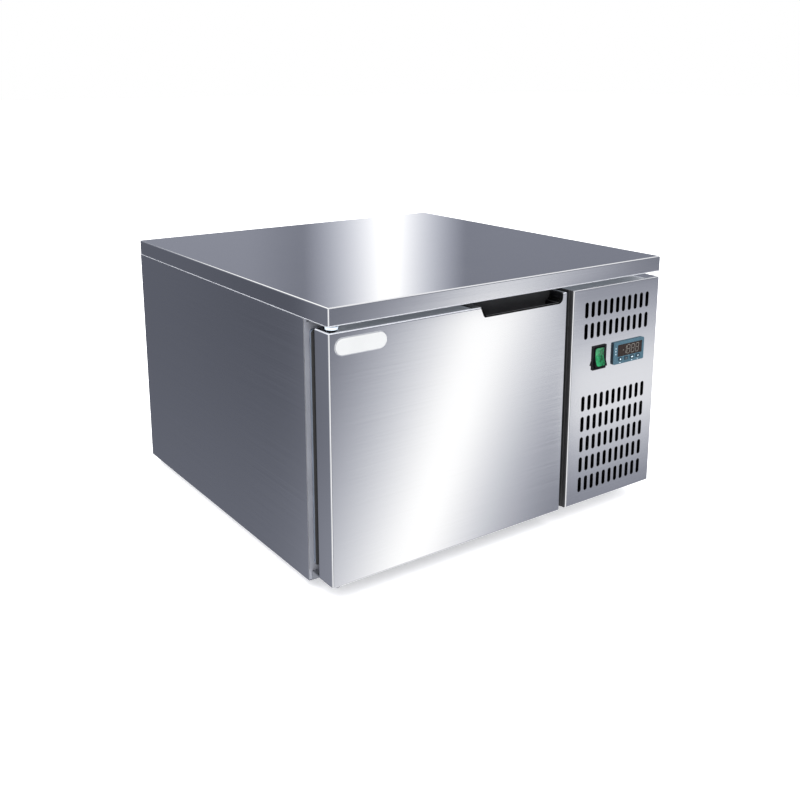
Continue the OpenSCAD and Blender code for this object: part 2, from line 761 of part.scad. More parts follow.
module feet() {
  color("#202022") for (p = feet_at) translate([p.x, p.y, 0]) difference() {
    cylinder(h = foot_h, d1 = foot_d - 5, d2 = foot_d);
    translate([0, 0, -1]) cylinder(h = foot_bore + 1, d = bolt_head_d + 4);
    cylinder(h = foot_h + 1, d = bolt_d + bolt_play);
  }
}

comp_foot_x = 70;
comp_foot_y = 52;
comp_at = [mc_mid, y1 - 190, mc_z0];
comp_feet = [for (x = [-1, 1], y = [-1, 1]) [mc_mid + x * comp_foot_x, comp_at.y + y * comp_foot_y]];
grommet_h = 14;
comp_plate_t = 2.5;

// One bolt for each foot and one for each rubber mount of the compressor
module machine_bolts() {
  color("#a5a8ad") {
    for (p = feet_at) translate([p.x, p.y, foot_bore - bolt_head_h]) {
      cylinder(h = bolt_head_h, d = bolt_head_d, $fn = 6);
      cylinder(h = mc_z0 - foot_bore + bolt_head_h, d = bolt_d);
    }
    for (p = comp_feet) translate([p.x, p.y, z_base]) {
      cylinder(h = base_t + grommet_h + comp_plate_t + bolt_head_h + 1, d = bolt_d);
      translate([0, 0, base_t + grommet_h + comp_plate_t])
        cylinder(h = bolt_head_h, d = bolt_head_d, $fn = 6);
    }
  }
}

// ---------------------------------------------------------------- refrigeration

shell_z = mc_z0 + grommet_h + comp_plate_t;

// Half of the compressor's shell, drawn from its axis: round bottom, seam band and domed top
function dome(r, z, h, steps) = [for (i = [0:steps]) let (a = 90 * i / steps) [r * cos(a), z + h * sin(a)]];

module compressor() {
  r = comp_d / 2;
  seam = comp_h * 0.48;
  color("#26272a") {
    translate([comp_at.x, comp_at.y, shell_z]) rotate_extrude() polygon(concat(
      [[0, 0], [r - 22, 0], [r - 8, 8], [r - 3, 24], [r - 3, seam - 5], [r, seam - 5], [r, seam + 5]],
      dome(r - 4, seam + 5, comp_h - seam - 5, 10)
    ));
    // The foot plate, and the stubs that the lines are brazed to
    difference() {
      block([comp_at.x - comp_foot_x - 13, comp_at.y - comp_foot_y - 13, shell_z - comp_plate_t],
            [comp_at.x + comp_foot_x + 13, comp_at.y + comp_foot_y + 13, shell_z]);
      for (p = comp_feet) translate([p.x, p.y, mc_z0]) cylinder(h = 40, d = bolt_d + 2 * bolt_play);
    }
    y_rod(discharge_stub, line_d + 2, stub_l);
    y_rod(suction_stub, suction_d + 2, stub_l);
  }
}

stub_l = 16;
discharge_stub = [comp_at.x - 20, comp_at.y - comp_d / 2 - 6, shell_z + 40];
suction_stub = [comp_at.x - 30, comp_at.y + comp_d / 2 - 12, suction_at.z];

cap_x = 22;             // the cap's near side from the compressor's axis
cap_z = 60;             // the cap's underside above the shell's foot
cap_w = 44;
cap_h = 52;
cap_front = 30;
cap_back = 45;
cap_step = 12;

// The cap over the compressor's terminals and overload
module compressor_terminal_cover() {
  face = comp_d / 2 + 2;
  color(plastic) translate([comp_at.x + cap_x, comp_at.y - face, shell_z + cap_z]) difference() {
    block([0, -cap_front, 0], [cap_w, cap_back, cap_h]);
    translate([-cap_x, face, -1]) cylinder(h = cap_h + 8, d = comp_d + 2 * face_gap);
    // The step along its upper front edge
    block([-1, -cap_front - 1, cap_h - cap_step], [cap_w + 1, cap_step + 2 - cap_front, cap_h + 1]);
  }
}

module compressor_grommets() {
  color("#2c2c2e") for (p = comp_feet) translate([p.x, p.y, mc_z0]) difference() {
    union() {
      cylinder(h = grommet_h, d = 20);
      cylinder(h = 4, d = 24);
    }
    translate([0, 0, -1]) cylinder(h = grommet_h + 2, d = bolt_d + 2 * bolt_play);
  }
}

cond_foot = 14;         // height of the condenser's fin pack above the base
cond_at = [mc_mid - cond_w / 2, y_face + 22, mc_z0 + cond_foot];

module condenser_coil() {
  color("#9fa3a8") translate(cond_at) finned_coil([cond_w, cond_d, cond_h], cond_fin_pitch, cond_foot);
}

cond_fan_z = cond_at.z + cond_h / 2;
shroud_y = cond_at.y + cond_d;
shroud_d = 14;
cond_bore_play = 3;

// A box behind the condenser that carries the fan's ring
module condenser_shroud() {
  lo = [cond_at.x, shroud_y, mc_z0];
  hi = [cond_at.x + cond_w, shroud_y + shroud_d, cond_at.z + cond_h + cond_foot];
  color(dark_steel) difference() {
    block(lo, hi);
    block([lo.x + sheet_t, lo.y - 1, lo.z + sheet_t], [hi.x - sheet_t, hi.y - sheet_t, hi.z - sheet_t]);
    y_rod([mc_mid, lo.y, cond_fan_z], cond_fan_d + 2 * cond_bore_play, shroud_d + 1);
  }
}

module at_cond_fan() translate([mc_mid, shroud_y + shroud_d - sheet_t, cond_fan_z]) children();

module condenser_fan_bracket() {
  color(dark_steel) at_cond_fan() intersection() {
    motor_bracket(cond_fan_d / 2 + cond_bore_play - 2, sheet_t);
    block([-cond_w / 2, 0, -cond_h / 2 - cond_foot], [cond_w / 2, 100, cond_h / 2 + cond_foot]);
  }
}

module condenser_fan_motor() { color("#2b2c2f") at_cond_fan() motor(); }

module condenser_fan() { at_cond_fan() rotor(cond_fan_d, 5); }

drier_at = [mc_x0 + 14, shroud_y + 90, mc_z0 + 40];
drier_l = 100;
drier_d = 19;

// A spun copper can with necked ends, held by a strap to the partition
module filter_drier() {
  n = line_d / 2 + 1;
  r = drier_d / 2;
  color(copper) {
    translate(drier_at) rotate_extrude() polygon([
      [0, 0], [n, 0], [n, 8], [r, 18], [r, drier_l - 18], [n, drier_l - 8], [n, drier_l], [0, drier_l]
    ]);
    for (z = [28, drier_l - 36])
      block([mc_x0, drier_at.y - r / 2, drier_at.z + z],
            [drier_at.x - r + 1, drier_at.y + r / 2, drier_at.z + z + 8]);
  }
}

line_bend = 12;         // bend radius of the lines
short_bend = 7;         // bend radius beside the condenser
riser_x = drier_at.x;   // the upright lines stand in one plane beside the partition
cond_low = cond_at + low_end(cond_d, cond_h);
cond_top = cond_at + top_end(cond_d, cond_h);

// From the compressor to the condenser's upper tube
module discharge_line() {
  from = discharge_stub;
  out_y = from.y - 40;
  over_z = cond_top.z + 50;
  color(copper) pipe([
    from, [from.x, out_y, from.z], [from.x, out_y, over_z], [riser_x, out_y, over_z],
    [riser_x, cond_top.y, over_z], [riser_x, cond_top.y, cond_top.z], cond_top
  ], line_d, short_bend);
}

// From the condenser's lowest tube up into the drier, and from there to the evaporator
module liquid_line() {
  under_z = cond_low.z - 18;
  top = drier_at + [0, 0, drier_l];
  over_z = top.z + 40;
  color(copper) {
    pipe([cond_low, [riser_x, cond_low.y, cond_low.z], [riser_x, cond_low.y, under_z],
          [riser_x, drier_at.y, under_z], drier_at], line_d, short_bend);
    pipe([top, [riser_x, top.y, over_z], [riser_x, liquid_at.y, over_z], [riser_x, liquid_at.y, liquid_at.z],
          liquid_at], line_d, line_bend);
  }
}

// From the evaporator's lowest tube back to the compressor
module suction_line() {
  corner = [suction_stub.x, suction_at.y, suction_at.z];
  color(copper) pipe([suction_at, corner, suction_stub + [0, stub_l, 0]], suction_d, line_bend);
}

// ---------------------------------------------------------------- electrics

ebox_size = [120, 150, 110];
ebox_gap = 20;          // gap between the box and the condenser's shroud
ebox_drop = 22;         // gap above the box
ebox_lo = [mc_x0, shroud_y + ebox_gap, z_under - ebox_drop - ebox_size.z];
ebox_hi = ebox_lo + ebox_size;

module electrical_box() {
  color("#8b8f95") difference() {
    block(ebox_lo, ebox_hi);
    block(ebox_lo + [sheet_t, sheet_t, sheet_t], [ebox_hi.x + 1, ebox_hi.y - sheet_t, ebox_hi.z - sheet_t]);
  }
}

module electrical_box_cover() {
  color("#8b8f95") {
    block([ebox_hi.x, ebox_lo.y, ebox_lo.z], [ebox_hi.x + sheet_t, ebox_hi.y, ebox_hi.z]);
    for (y = [ebox_lo.y + 12, ebox_hi.y - 12], z = [ebox_lo.z + 12, ebox_hi.z - 12])
      x_rod([ebox_hi.x + sheet_t, y, z], 7, 2);
  }
}

gland_thread_d = 20;

// A cable gland in the back panel: thread, flange nut and domed clamping nut
module mains_gland() {
  color(plastic) translate([gland_at.x, 0, gland_at.y]) difference() {
    union() {
      y_rod([0, y1 - 12, 0], gland_thread_d, 12);
      y_rod([0, y1 - sheet_t - 5, 0], gland_d, 5);
      translate([0, y1, 0]) rotate([-90, 0, 0]) cylinder(h = 6, d = gland_d, $fn = 6);
      translate([0, y1 + 6, 0]) rotate([-90, 0, 0])
        cylinder(h = gland_l - 6, d1 = gland_d - 2, d2 = gland_d - 9);
    }
    y_rod([0, y1 - 13, 0], 9, gland_l + 20);
  }
}

screw_d = 4;
screw_head_d = 8;
screw_head_h = 2;

// Pan-head screws: round the back panel, under the control panel and through the hinge plates
module case_screws() {
  inset = 14;
  color("#b5b8bd") {
    for (x = [x0 + inset, in_mid, door_x1 - inset, x1 - inset], z = [z_base + inset, z_under - inset])
      translate([x, y1, z]) rotate([-90, 0, 0]) {
        cylinder(h = screw_head_h, d1 = screw_head_d, d2 = screw_head_d - 2.5);
      }
    for (x = [panel_x0 + 30, x1 - 30])
      translate([x, y_face - 12, front_z0 - screw_head_h])
        cylinder(h = screw_head_h, d1 = screw_head_d - 2.5, d2 = screw_head_d);
  }
}

// ---------------------------------------------------------------- control panel

panel_top = front_z1;
panel_mid_x = panel_x0 + slot_middle;
switch_at = [panel_x0 + switch_x, panel_top - control_row];
controller_at = [panel_x0 + controller_x, panel_top - control_row];
switch_cut = [switch_w - 3, switch_h - 3];
controller_cut = [controller_w - 5, controller_h - 7];

module centred(at, size) translate([at.x - size.x / 2, at.y - size.y / 2]) square(size);

// One folded sheet: a slotted face with four returns back to the front frame
module control_panel() {
  color(steel) difference() {
    folded_front([panel_x0, y0, front_z0], [x1, y_face, front_z1], bend_r);
    block([panel_x0 + sheet_t, y0 + sheet_t, front_z0 + sheet_t],
          [x1 - sheet_t, y_face + 1, front_z1 - sheet_t]);
    along_y(y0 - 1, y0 + sheet_t + 1) {
      slots(panel_mid_x, panel_top - upper_row, upper_rows);
      slots(panel_mid_x, panel_top - lower_row, lower_rows);
      centred(switch_at, switch_cut + [0.4, 0.4]);
      centred(controller_at, controller_cut + [0.4, 0.4]);
    }
  }
}

// A black ribbed strip on the side of the panel that faces the door
module panel_side_strip() {
  color(plastic) {
    block([panel_x0 - strip_t, y0 + bend_r, front_z0], [panel_x0, y_face, front_z1]);
    block([panel_x0 - 2 * strip_t, y0 + 8, front_z0], [panel_x0 - strip_t, y0 + 8 + strip_rib, front_z1]);
  }
}

key_row = controller_at.y - controller_h / 2 + 8;
key_at = [for (i = [0:3]) [controller_at.x + (i - 1.5) * key_pitch, key_row]];
key_l = 4;
display_at = [controller_at.x + 1.5, controller_at.y + 4];
face_y = y0 - controller_rim;

module controller_housing() {
  half = [controller_w / 2, controller_h / 2];
  color("#3f6274") difference() {
    union() {
      along_y(face_y, y0) round_rect(controller_at - half, controller_at + half, 3);
      along_y(y0, y0 + sheet_t) centred(controller_at, controller_cut);
      along_y(y0 + sheet_t, y0 + controller_d) centred(controller_at, controller_cut);
    }
    along_y(face_y - 1, face_y + display_t) centred(display_at, [display_w, display_h]);
    for (k = key_at) along_y(face_y - 1, face_y + key_l - key_proud + key_travel + face_gap)
      centred(k, [key_w + 2 * key_gap, key_h + 2 * key_gap]);
  }
}

module display_window() {
  color("#20160f") along_y(face_y, face_y + display_t) centred(display_at, [display_w, display_h]);
}

// A key cap with a round-cornered face, on its stem
module key(i) {
  size = [key_w, key_h] / 2;
  color("#35546a") along_y(face_y - key_proud, face_y - key_proud + key_l)
    round_rect(key_at[i] - size, key_at[i] + size, 1.2);
}

module power_key() key(0);
module down_key() key(1);
module up_key() key(2);
module set_key() key(3);

well = [rocker_w + 2 * rocker_gap, rocker_h + 3];
well_d = rocker_pivot + 7;
pivot_d = 3;
pivot_l = 1;

module switch_housing() {
  half = [switch_w, switch_h] / 2;
  body = switch_cut / 2;
  color(plastic) difference() {
    union() {
      along_y(y0 - switch_rim, y0) round_rect(switch_at - half, switch_at + half, 1.5);
      along_y(y0, y0 + well_d + 14) centred(switch_at, switch_cut);
    }
    along_y(y0 - switch_rim - 1, y0 + well_d) centred(switch_at, well);
    x_rod([switch_at.x - well.x / 2 - pivot_l - 0.2, y0 + rocker_pivot, switch_at.y],
          pivot_d + 2 * pin_play, well.x + 2 * pivot_l + 0.4);
  }
}

// The lit rocker, drawn with its upper end pressed in, and its two pivot studs
module switch_rocker() {
  h = rocker_h / 2;
  f = rocker_front;
  color("#1f8f4d") translate([switch_at.x, y0 + rocker_pivot, switch_at.y]) rotate([-rocker_tilt, 0, 0]) {
    along_x(-rocker_w / 2, rocker_w / 2)
      polygon([[-f, h], [-f + rocker_dip, 3], [-f + rocker_dip, -3], [-f, -h],
               [1.5, -h], [4, -6], [4, 6], [1.5, h]]);
    x_rod([-rocker_w / 2 - rocker_gap - pivot_l, 0, 0], pivot_d, rocker_w + 2 * (rocker_gap + pivot_l));
  }
}

// ---------------------------------------------------------------- hinge

plate_x0 = pivot_x - bush_d / 2 + 1;
bush_top = z_under;
plate_z = z_under - hinge_plate_t;

module upper_hinge_plate() {
  nose = bush_d / 2 - 1;
  leg_h = top_gap - 3;
  color(dark_steel) difference() {
    union() {
      translate([0, 0, plate_z]) linear_extrude(hinge_plate_t) {
        translate([plate_x0, pivot_y]) square([2 * nose, y_face - pivot_y]);
        translate([plate_x0, y_face - 20]) square([hinge_plate_w, 20]);
        translate([pivot_x, pivot_y]) circle(nose);
      }
      block([plate_x0, y_face - hinge_plate_t, z_under - leg_h],
            [plate_x0 + hinge_plate_w, y_face, z_under]);
    }
    translate([pivot_x, pivot_y, plate_z - 1])
      cylinder(h = hinge_plate_t + 2, d = pin_d + 2 * bush_wall + 2 * pin_play);
  }
}

// A nylon bush whose head hangs under the hinge plate
module upper_hinge_bush() {
  color("#dfe8f4") translate([pivot_x, pivot_y, plate_z]) difference() {
    union() {
      cylinder(h = hinge_plate_t, d = pin_d + 2 * bush_wall);
      rotate_extrude() polygon([
        [0, 0], [bush_d / 2, 0], [bush_d / 2, 1.4 - bush_h], [bush_d / 2 - 0.5, 0.4 - bush_h],
        [bush_d / 2 - 1.6, -bush_h], [0, -bush_h]
      ]);
    }
    translate([0, 0, -bush_h - 1]) cylinder(h = bush_h + hinge_plate_t + 2, d = pin_d + 2 * pin_play);
  }
}

pin_collar_d = pin_d + 4;

// The door's upper pin, pressed into the door's corner block
module upper_hinge_pin() {
  color("#55585d") translate([pivot_x, pivot_y, front_z1]) {
    translate([0, 0, -pin_reach]) cylinder(h = pin_reach + top_gap - 0.5, d = pin_d);
    cylinder(h = top_gap - hinge_plate_t - bush_h - 1, d = pin_collar_d);
  }
}

lower_z = front_z0 - bush_flange_t - 0.2;

// A plate screwed to the cabinet under the door, with the lower pin standing on it
module lower_hinge_plate() {
  nose = pin_d / 2 + 3;
  color(dark_steel) {
    translate([0, 0, lower_z - lower_plate_t]) linear_extrude(lower_plate_t) {
      translate([pivot_x - nose, pivot_y]) square([2 * nose, y_face - pivot_y]);
      translate([pivot_x - nose, y_face - 20]) square([hinge_plate_w, 20]);
      translate([pivot_x, pivot_y]) circle(nose);
    }
    block([pivot_x - nose, y_face - lower_plate_t, z_base + 1],
          [pivot_x - nose + hinge_plate_w, y_face, lower_z]);
    translate([pivot_x, pivot_y, lower_z - 1]) cylinder(h = pin_reach + 1, d = pin_d);
  }
}

// A flanged nylon bush in the bottom of the door
module lower_hinge_bush() {
  d = pin_d + 2 * bush_wall;
  color("#dfe8f4") translate([pivot_x, pivot_y, front_z0]) difference() {
    union() {
      cylinder(h = pin_reach + 2, d = d);
      translate([0, 0, -bush_flange_t]) cylinder(h = bush_flange_t, d = d + 4);
    }
    translate([0, 0, -bush_flange_t - 1])
      cylinder(h = pin_reach + bush_flange_t + 1, d = pin_d + 2 * pin_play);
  }
}

// ---------------------------------------------------------------- door

grip_x1 = door_x1 - grip_side;
grip_x0 = grip_x1 - grip_w;
grip_rise = 4;          // height that a cutter passes above the door's top

// The grip's opening in the door's front, drawn in X and Z, pulled in by a wall
module grip_outline(inset, rise) {
  z = front_z1 - grip_drop + inset;
  a = grip_x0 + inset;
  b = grip_x1 - inset;
  r = 9 - inset / 2;
  polygon(concat(
    [[a, front_z1 + rise], [a, front_z1], [a + grip_slant - 2, z + 2], [a + grip_slant, z]],
    [for (t = [-90:15:0]) [b - r + r * cos(t), z + r + r * sin(t)]],
    [[b, front_z1 + rise]]
  ));
}

tub_x0 = grip_x0 + grip_slant;
tub_x1 = grip_x1 - grip_slant;
tub_z0 = front_z1 - grip_h;
tub_y0 = y0 + sheet_t;
tub_y1 = y0 + grip_d;

module pin_bores(d) {
  translate([pivot_x, pivot_y, front_z1 - pin_reach]) cylinder(h = pin_reach + 1, d = pin_d);
  translate([pivot_x, pivot_y, front_z0 - 1]) cylinder(h = pin_reach + 3, d = d);
}

module door_skin() {
  color(steel) difference() {
    folded_front([door_x0, y0, front_z0], [door_x1, y_skin, front_z1], bend_r);
    block([door_x0 + sheet_t, y0 + sheet_t, front_z0 + sheet_t],
          [door_x1 - sheet_t, y_skin + 1, front_z1 - sheet_t]);
    along_y(y0 - 1, tub_y1) grip_outline(0, grip_rise);
    pin_bores(pin_d + 2 * bush_wall);
  }
}

module door_foam() {
  color(foam_colour) difference() {
    union() {
      block([door_x0 + sheet_t, y0 + sheet_t, front_z0 + sheet_t],
            [door_x1 - sheet_t, y_skin - pan_t, front_z1 - sheet_t]);
      block([door_x0 + pan_inset + pan_t, y_skin - pan_t - 1, front_z0 + pan_inset + pan_t],
            [door_x1 - pan_inset - pan_t, y_pan - pan_t, front_z1 - pan_inset - pan_t]);
    }
    along_y(y0 - 1, tub_y1) grip_outline(0, grip_rise);
    block([tub_x0, y0, tub_z0], [tub_x1, tub_y1, front_z1]);
    pin_bores(pin_d + 2 * bush_wall);
  }
}

press_inset = 60;       // distance of the pan's pressed panel from the door's edges

// The inner pan: a flange inside the skin's back edge and a raised middle
module door_pan() {
  color("#17181a") difference() {
    union() {
      block([door_x0 + sheet_t, y_skin - pan_t, front_z0 + sheet_t],
            [door_x1 - sheet_t, y_skin, front_z1 - sheet_t]);
      block([door_x0 + pan_inset, y_skin - pan_t, front_z0 + pan_inset],
            [door_x1 - pan_inset, y_pan, front_z1 - pan_inset]);
    }
    block([door_x0 + pan_inset + pan_t, y_skin - 2 * pan_t, front_z0 + pan_inset + pan_t],
          [door_x1 - pan_inset - pan_t, y_pan - pan_t, front_z1 - pan_inset - pan_t]);
    // A shallow pressed panel in the middle of the pan
    along_y(y_pan - 0.6, y_pan + 1)
      round_rect([door_x0 + press_inset, front_z0 + press_inset],
                 [door_x1 - press_inset, front_z1 - press_inset], 16);
  }
}

// A frame of gasket between two insets, drawn in X and Z
module gasket_ring(outer, inner) {
  difference() {
    round_rect([door_x0 + outer, front_z0 + outer], [door_x1 - outer, front_z1 - outer], 5);
    translate([door_x0 + inner, front_z0 + inner])
      square([door_w - 2 * inner, front_z1 - front_z0 - 2 * inner]);
  }
}

// A magnetic strip on narrower bellows, pressed onto the pan
module door_gasket() {
  back = y_seal - gasket_magnet_d;
  color("#8d9098") {
    along_y(back, y_seal) gasket_ring(gasket_inset, gasket_inset + gasket_w);
    along_y(y_pan, back) gasket_ring(gasket_inset + 3, gasket_inset + gasket_w - 3);
  }
}

// The black grip: a tub let into the door's top edge, open to the front and the top
module door_grip() {
  w = grip_wall;
  color(plastic) difference() {
    union() {
      along_y(y0 - grip_lip_t, tub_y1) grip_outline(0, 0);
      block([tub_x0, tub_y0, tub_z0], [tub_x1, tub_y1, front_z1 - grip_drop]);
      // The lip that lies on the top of the door
      block([grip_x0 - grip_lip, y0 + bend_r, front_z1], [grip_x1 + 3, tub_y1 + 2, front_z1 + grip_lip_t]);
    }
    along_y(y0 - 2, tub_y1 - w) grip_outline(w, grip_rise);
    block([tub_x0 + w, tub_y0 + w, tub_z0 + w], [tub_x1 - w, tub_y1 - w, front_z1 + 2]);
  }
}

module badge_plate() {
  at = [door_x0 + badge_x, front_z1 - badge_z];
  half = [badge_w, badge_h] / 2;
  color("#eceeef") along_y(y0 - badge_t, y0) round_rect(at - half, at + half, badge_h / 2 - eps);
}

// ---------------------------------------------------------------- what is drawn

worktop();
worktop_core();
left_side_panel();
right_side_panel();
back_panel();
base_plate();
front_frame();
partition();
foam_insulation();
chamber_liner();
tray_rack_left();
tray_rack_right();
evaporator_cover();
fan_guard();
evaporator_fan_bracket();
evaporator_fan_motor();
evaporator_coil();
drip_tray();
drain_pipe();
air_probe();
feet();
machine_bolts();
compressor();
compressor_terminal_cover();
compressor_grommets();
condenser_coil();
condenser_shroud();
condenser_fan_bracket();
condenser_fan_motor();
filter_drier();
discharge_line();
liquid_line();
suction_line();
electrical_box();
electrical_box_cover();
control_panel();
panel_side_strip();
controller_housing();
display_window();
switch_housing();
upper_hinge_plate();
upper_hinge_bush();
lower_hinge_plate();
mains_gland();
case_screws();
door_skin();
door_foam();
door_pan();
door_gasket();
door_grip();
upper_hinge_pin();
lower_hinge_bush();
badge_plate();
evaporator_fan();
condenser_fan();
switch_rocker();
power_key();
down_key();
up_key();
set_key();
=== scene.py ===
"""Countertop blast chiller: a steel cabinet with an insulated door, a slotted control panel and a small
electronic controller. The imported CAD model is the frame; this script dresses it."""

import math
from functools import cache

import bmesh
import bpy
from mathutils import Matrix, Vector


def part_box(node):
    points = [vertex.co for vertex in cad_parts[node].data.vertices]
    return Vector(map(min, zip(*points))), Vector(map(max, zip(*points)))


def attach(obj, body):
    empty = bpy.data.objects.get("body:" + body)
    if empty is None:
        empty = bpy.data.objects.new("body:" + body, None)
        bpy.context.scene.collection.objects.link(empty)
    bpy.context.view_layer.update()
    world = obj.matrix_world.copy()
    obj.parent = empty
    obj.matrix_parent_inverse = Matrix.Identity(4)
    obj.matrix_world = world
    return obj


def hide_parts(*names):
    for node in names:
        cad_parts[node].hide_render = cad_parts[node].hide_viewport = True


bl_info = {
    "name": "Blast chiller",
    "version": (1, 0, 0),
    "blender": (4, 5, 0),
    "location": "3D View > Sidebar > Blast chiller",
    "description": "Builds the finished surfaces of a countertop blast chiller around its CAD frame",
    "category": "Add Mesh",
}

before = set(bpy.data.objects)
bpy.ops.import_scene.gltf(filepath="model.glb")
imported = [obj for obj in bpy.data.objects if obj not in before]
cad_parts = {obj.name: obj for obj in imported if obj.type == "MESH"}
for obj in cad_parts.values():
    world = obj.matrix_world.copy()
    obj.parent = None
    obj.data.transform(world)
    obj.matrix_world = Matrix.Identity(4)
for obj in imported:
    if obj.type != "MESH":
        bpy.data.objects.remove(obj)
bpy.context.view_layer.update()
MM = 0.001
RIGHT_ANGLE = math.radians(90)

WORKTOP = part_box("worktop")
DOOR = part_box("door_skin")
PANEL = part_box("control_panel")
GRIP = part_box("door_grip")
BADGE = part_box("badge_plate")
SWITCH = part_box("switch_housing")
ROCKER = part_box("switch_rocker")
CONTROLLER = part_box("controller_housing")
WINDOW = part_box("display_window")
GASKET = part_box("door_gasket")
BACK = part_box("back_panel")
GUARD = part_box("fan_guard")
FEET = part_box("feet")
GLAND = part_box("mains_gland")
KEYS = ["power_key", "down_key", "up_key", "set_key"]


# ------------------------------------------------------------------ meshes


def mm(points):
    """Points given in millimetres, in metres."""
    return [tuple(value * MM for value in point) for point in points]


def middle(box):
    return (box[0] + box[1]) / 2


def new_object(name, data):
    made = bpy.data.objects.new(name, data)
    bpy.context.scene.collection.objects.link(made)
    return made


def piece_from(bm, name):
    """A new object at the origin from a bmesh, with its faces turned outwards."""
    bmesh.ops.remove_doubles(bm, verts=bm.verts, dist=1e-7)
    bmesh.ops.recalc_face_normals(bm, faces=bm.faces)
    mesh = bpy.data.meshes.new(name)
    bm.to_mesh(mesh)
    bm.free()
    return new_object(name, mesh)


def join_rings(bm, low, high):
    """Adds the faces between two closed rings of points, of which one may be a single point."""
    count = max(len(low), len(high))
    for k in range(count):
        n = (k + 1) % count
        corners = low[k % len(low)], low[n % len(low)], high[n % len(high)], high[k % len(high)]
        bm.faces.new(list(dict.fromkeys(corners)))


def add_prism(bm, outline, low, high):
    """Adds a solid: an outline of (x, z) points that runs along Y from low to high."""
    near, far = ([bm.verts.new((x, y, z)) for x, z in outline] for y in (low, high))
    bm.faces.new(near)
    bm.faces.new(far[::-1])
    join_rings(bm, far, near)


def prism(name, outline, low, high):
    bm = bmesh.new()
    add_prism(bm, outline, low, high)
    return piece_from(bm, name)


def block(name, low, high):
    return prism(name, [(low.x, low.z), (high.x, low.z), (high.x, high.z), (low.x, high.z)], low.y, high.y)


def front_outline(box, inset, radius, steps=6):
    """The front of a box as (x, z) points, pulled in by an inset and with round corners."""
    left, right = box[0].x + inset + radius, box[1].x - inset - radius
    foot, top = box[0].z + inset + radius, box[1].z - inset - radius
    outline = []
    for x, z, start in ((right, foot, -90), (right, top, 0), (left, top, 90), (left, foot, 180)):
        for k in range(steps + 1):
            a = math.radians(start + 90 * k / steps)
            outline.append((x + radius * math.cos(a), z + radius * math.sin(a)))
    return outline


def add_lathe(bm, profile, at, axis, steps):
    """Adds a turned solid from its profile of (radius, height) points in millimetres."""
    turn = Matrix.Rotation(-RIGHT_ANGLE, 3, "X") if axis == "Y" else Matrix.Identity(3)
    rings = []
    for radius, height in mm(profile):
        angles = (2 * math.pi * k / steps for k in range(steps if radius else 1))
        points = (Vector((radius * math.cos(a), radius * math.sin(a), height)) for a in angles)
        rings.append([bm.verts.new(turn @ point + Vector(at)) for point in points])
    for low, high in zip(rings, rings[1:]):
        join_rings(bm, low, high)


def lathe(name, profile, at=(0, 0, 0), axis="Z", steps=48):
    bm = bmesh.new()
    add_lathe(bm, profile, at, axis, steps)
    return piece_from(bm, name)


def rod(name, radius, length, at, steps=48):
    """A round bar along Y, in millimetres, to cut a hole with."""
    return lathe(name, [(0, 0), (radius, 0), (radius, length), (0, length)], at, "Y", steps)


def folded_sheet(name, box, open_side, lip=0.0, front_lip=0.0):
    """The faces of a box as one folded sheet with one open side, which a lip may border."""
    low, high = box
    bm = bmesh.new()
    bmesh.ops.create_cube(bm, size=1)
    for v in bm.verts:
        v.co = v.co * (high - low) + middle(box)
    bmesh.ops.recalc_face_normals(bm, faces=bm.faces)
    gone = [f for f in bm.faces if f.normal.dot(Vector(open_side)) > 0.9]
    if lip:
        bmesh.ops.inset_region(bm, faces=gone, thickness=lip)
        for v in gone[0].verts:
            if v.co.y < middle(box).y:
                v.co.y = low.y + front_lip
    bmesh.ops.delete(bm, geom=gone, context="FACES_ONLY")
    size = bpy.context.scene.chiller_sizes
    return settle(thicken(bevel(piece_from(bm, name), size.bend, 4), size.sheet))


def modify(piece, kind, **settings):
    modifier = piece.modifiers.new(kind.title(), kind)
    for key, value in settings.items():
        setattr(modifier, key, value)
    return piece


def bevel(piece, width, segments=3, angle=40):
    return modify(piece, "BEVEL", width=width, segments=segments, limit_method="ANGLE",
                  angle_limit=math.radians(angle), use_clamp_overlap=True)


def thicken(piece, thickness):
    return modify(piece, "SOLIDIFY", thickness=thickness, offset=-1, use_even_offset=True)


def cut(piece, cutter):
    return settle(modify(piece, "BOOLEAN", operation="DIFFERENCE", object=cutter, solver="EXACT"), cutter)


def settle(piece, *used):
    """Turns a piece and its modifiers into a plain mesh, and removes the helpers that it used."""
    bpy.context.view_layer.update()
    evaluated = piece.evaluated_get(bpy.context.evaluated_depsgraph_get())
    mesh = bpy.data.meshes.new_from_object(evaluated)
    mesh.name = piece.name
    piece.modifiers.clear()
    piece.data = mesh
    for helper in used:
        bpy.data.objects.remove(helper)
    return piece


def even_shading(piece, angle):
    """Smooth shading up to an angle, with flat faces kept flat."""
    bm = bmesh.new()
    bm.from_mesh(piece.data)
    for face in bm.faces:
        face.smooth = True
    for edge in bm.edges:
        edge.smooth = len(edge.link_faces) == 2 and edge.calc_face_angle(0) < math.radians(angle)
    bm.to_mesh(piece.data)
    bm.free()
    return modify(piece, "WEIGHTED_NORMAL", keep_sharp=True, weight=100)


def hand_over(piece, body, slot, finish, *nodes, angle=35):
    """Ends a piece with its shading, finish and body, and hides the CAD nodes that it stands for."""
    settle(even_shading(settle(piece), angle))
    if finish:
        piece.data.materials.clear()
        piece.data.materials.append(FINISH[finish])
    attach(piece, body)
    if nodes:
        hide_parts(*nodes)
    return piece


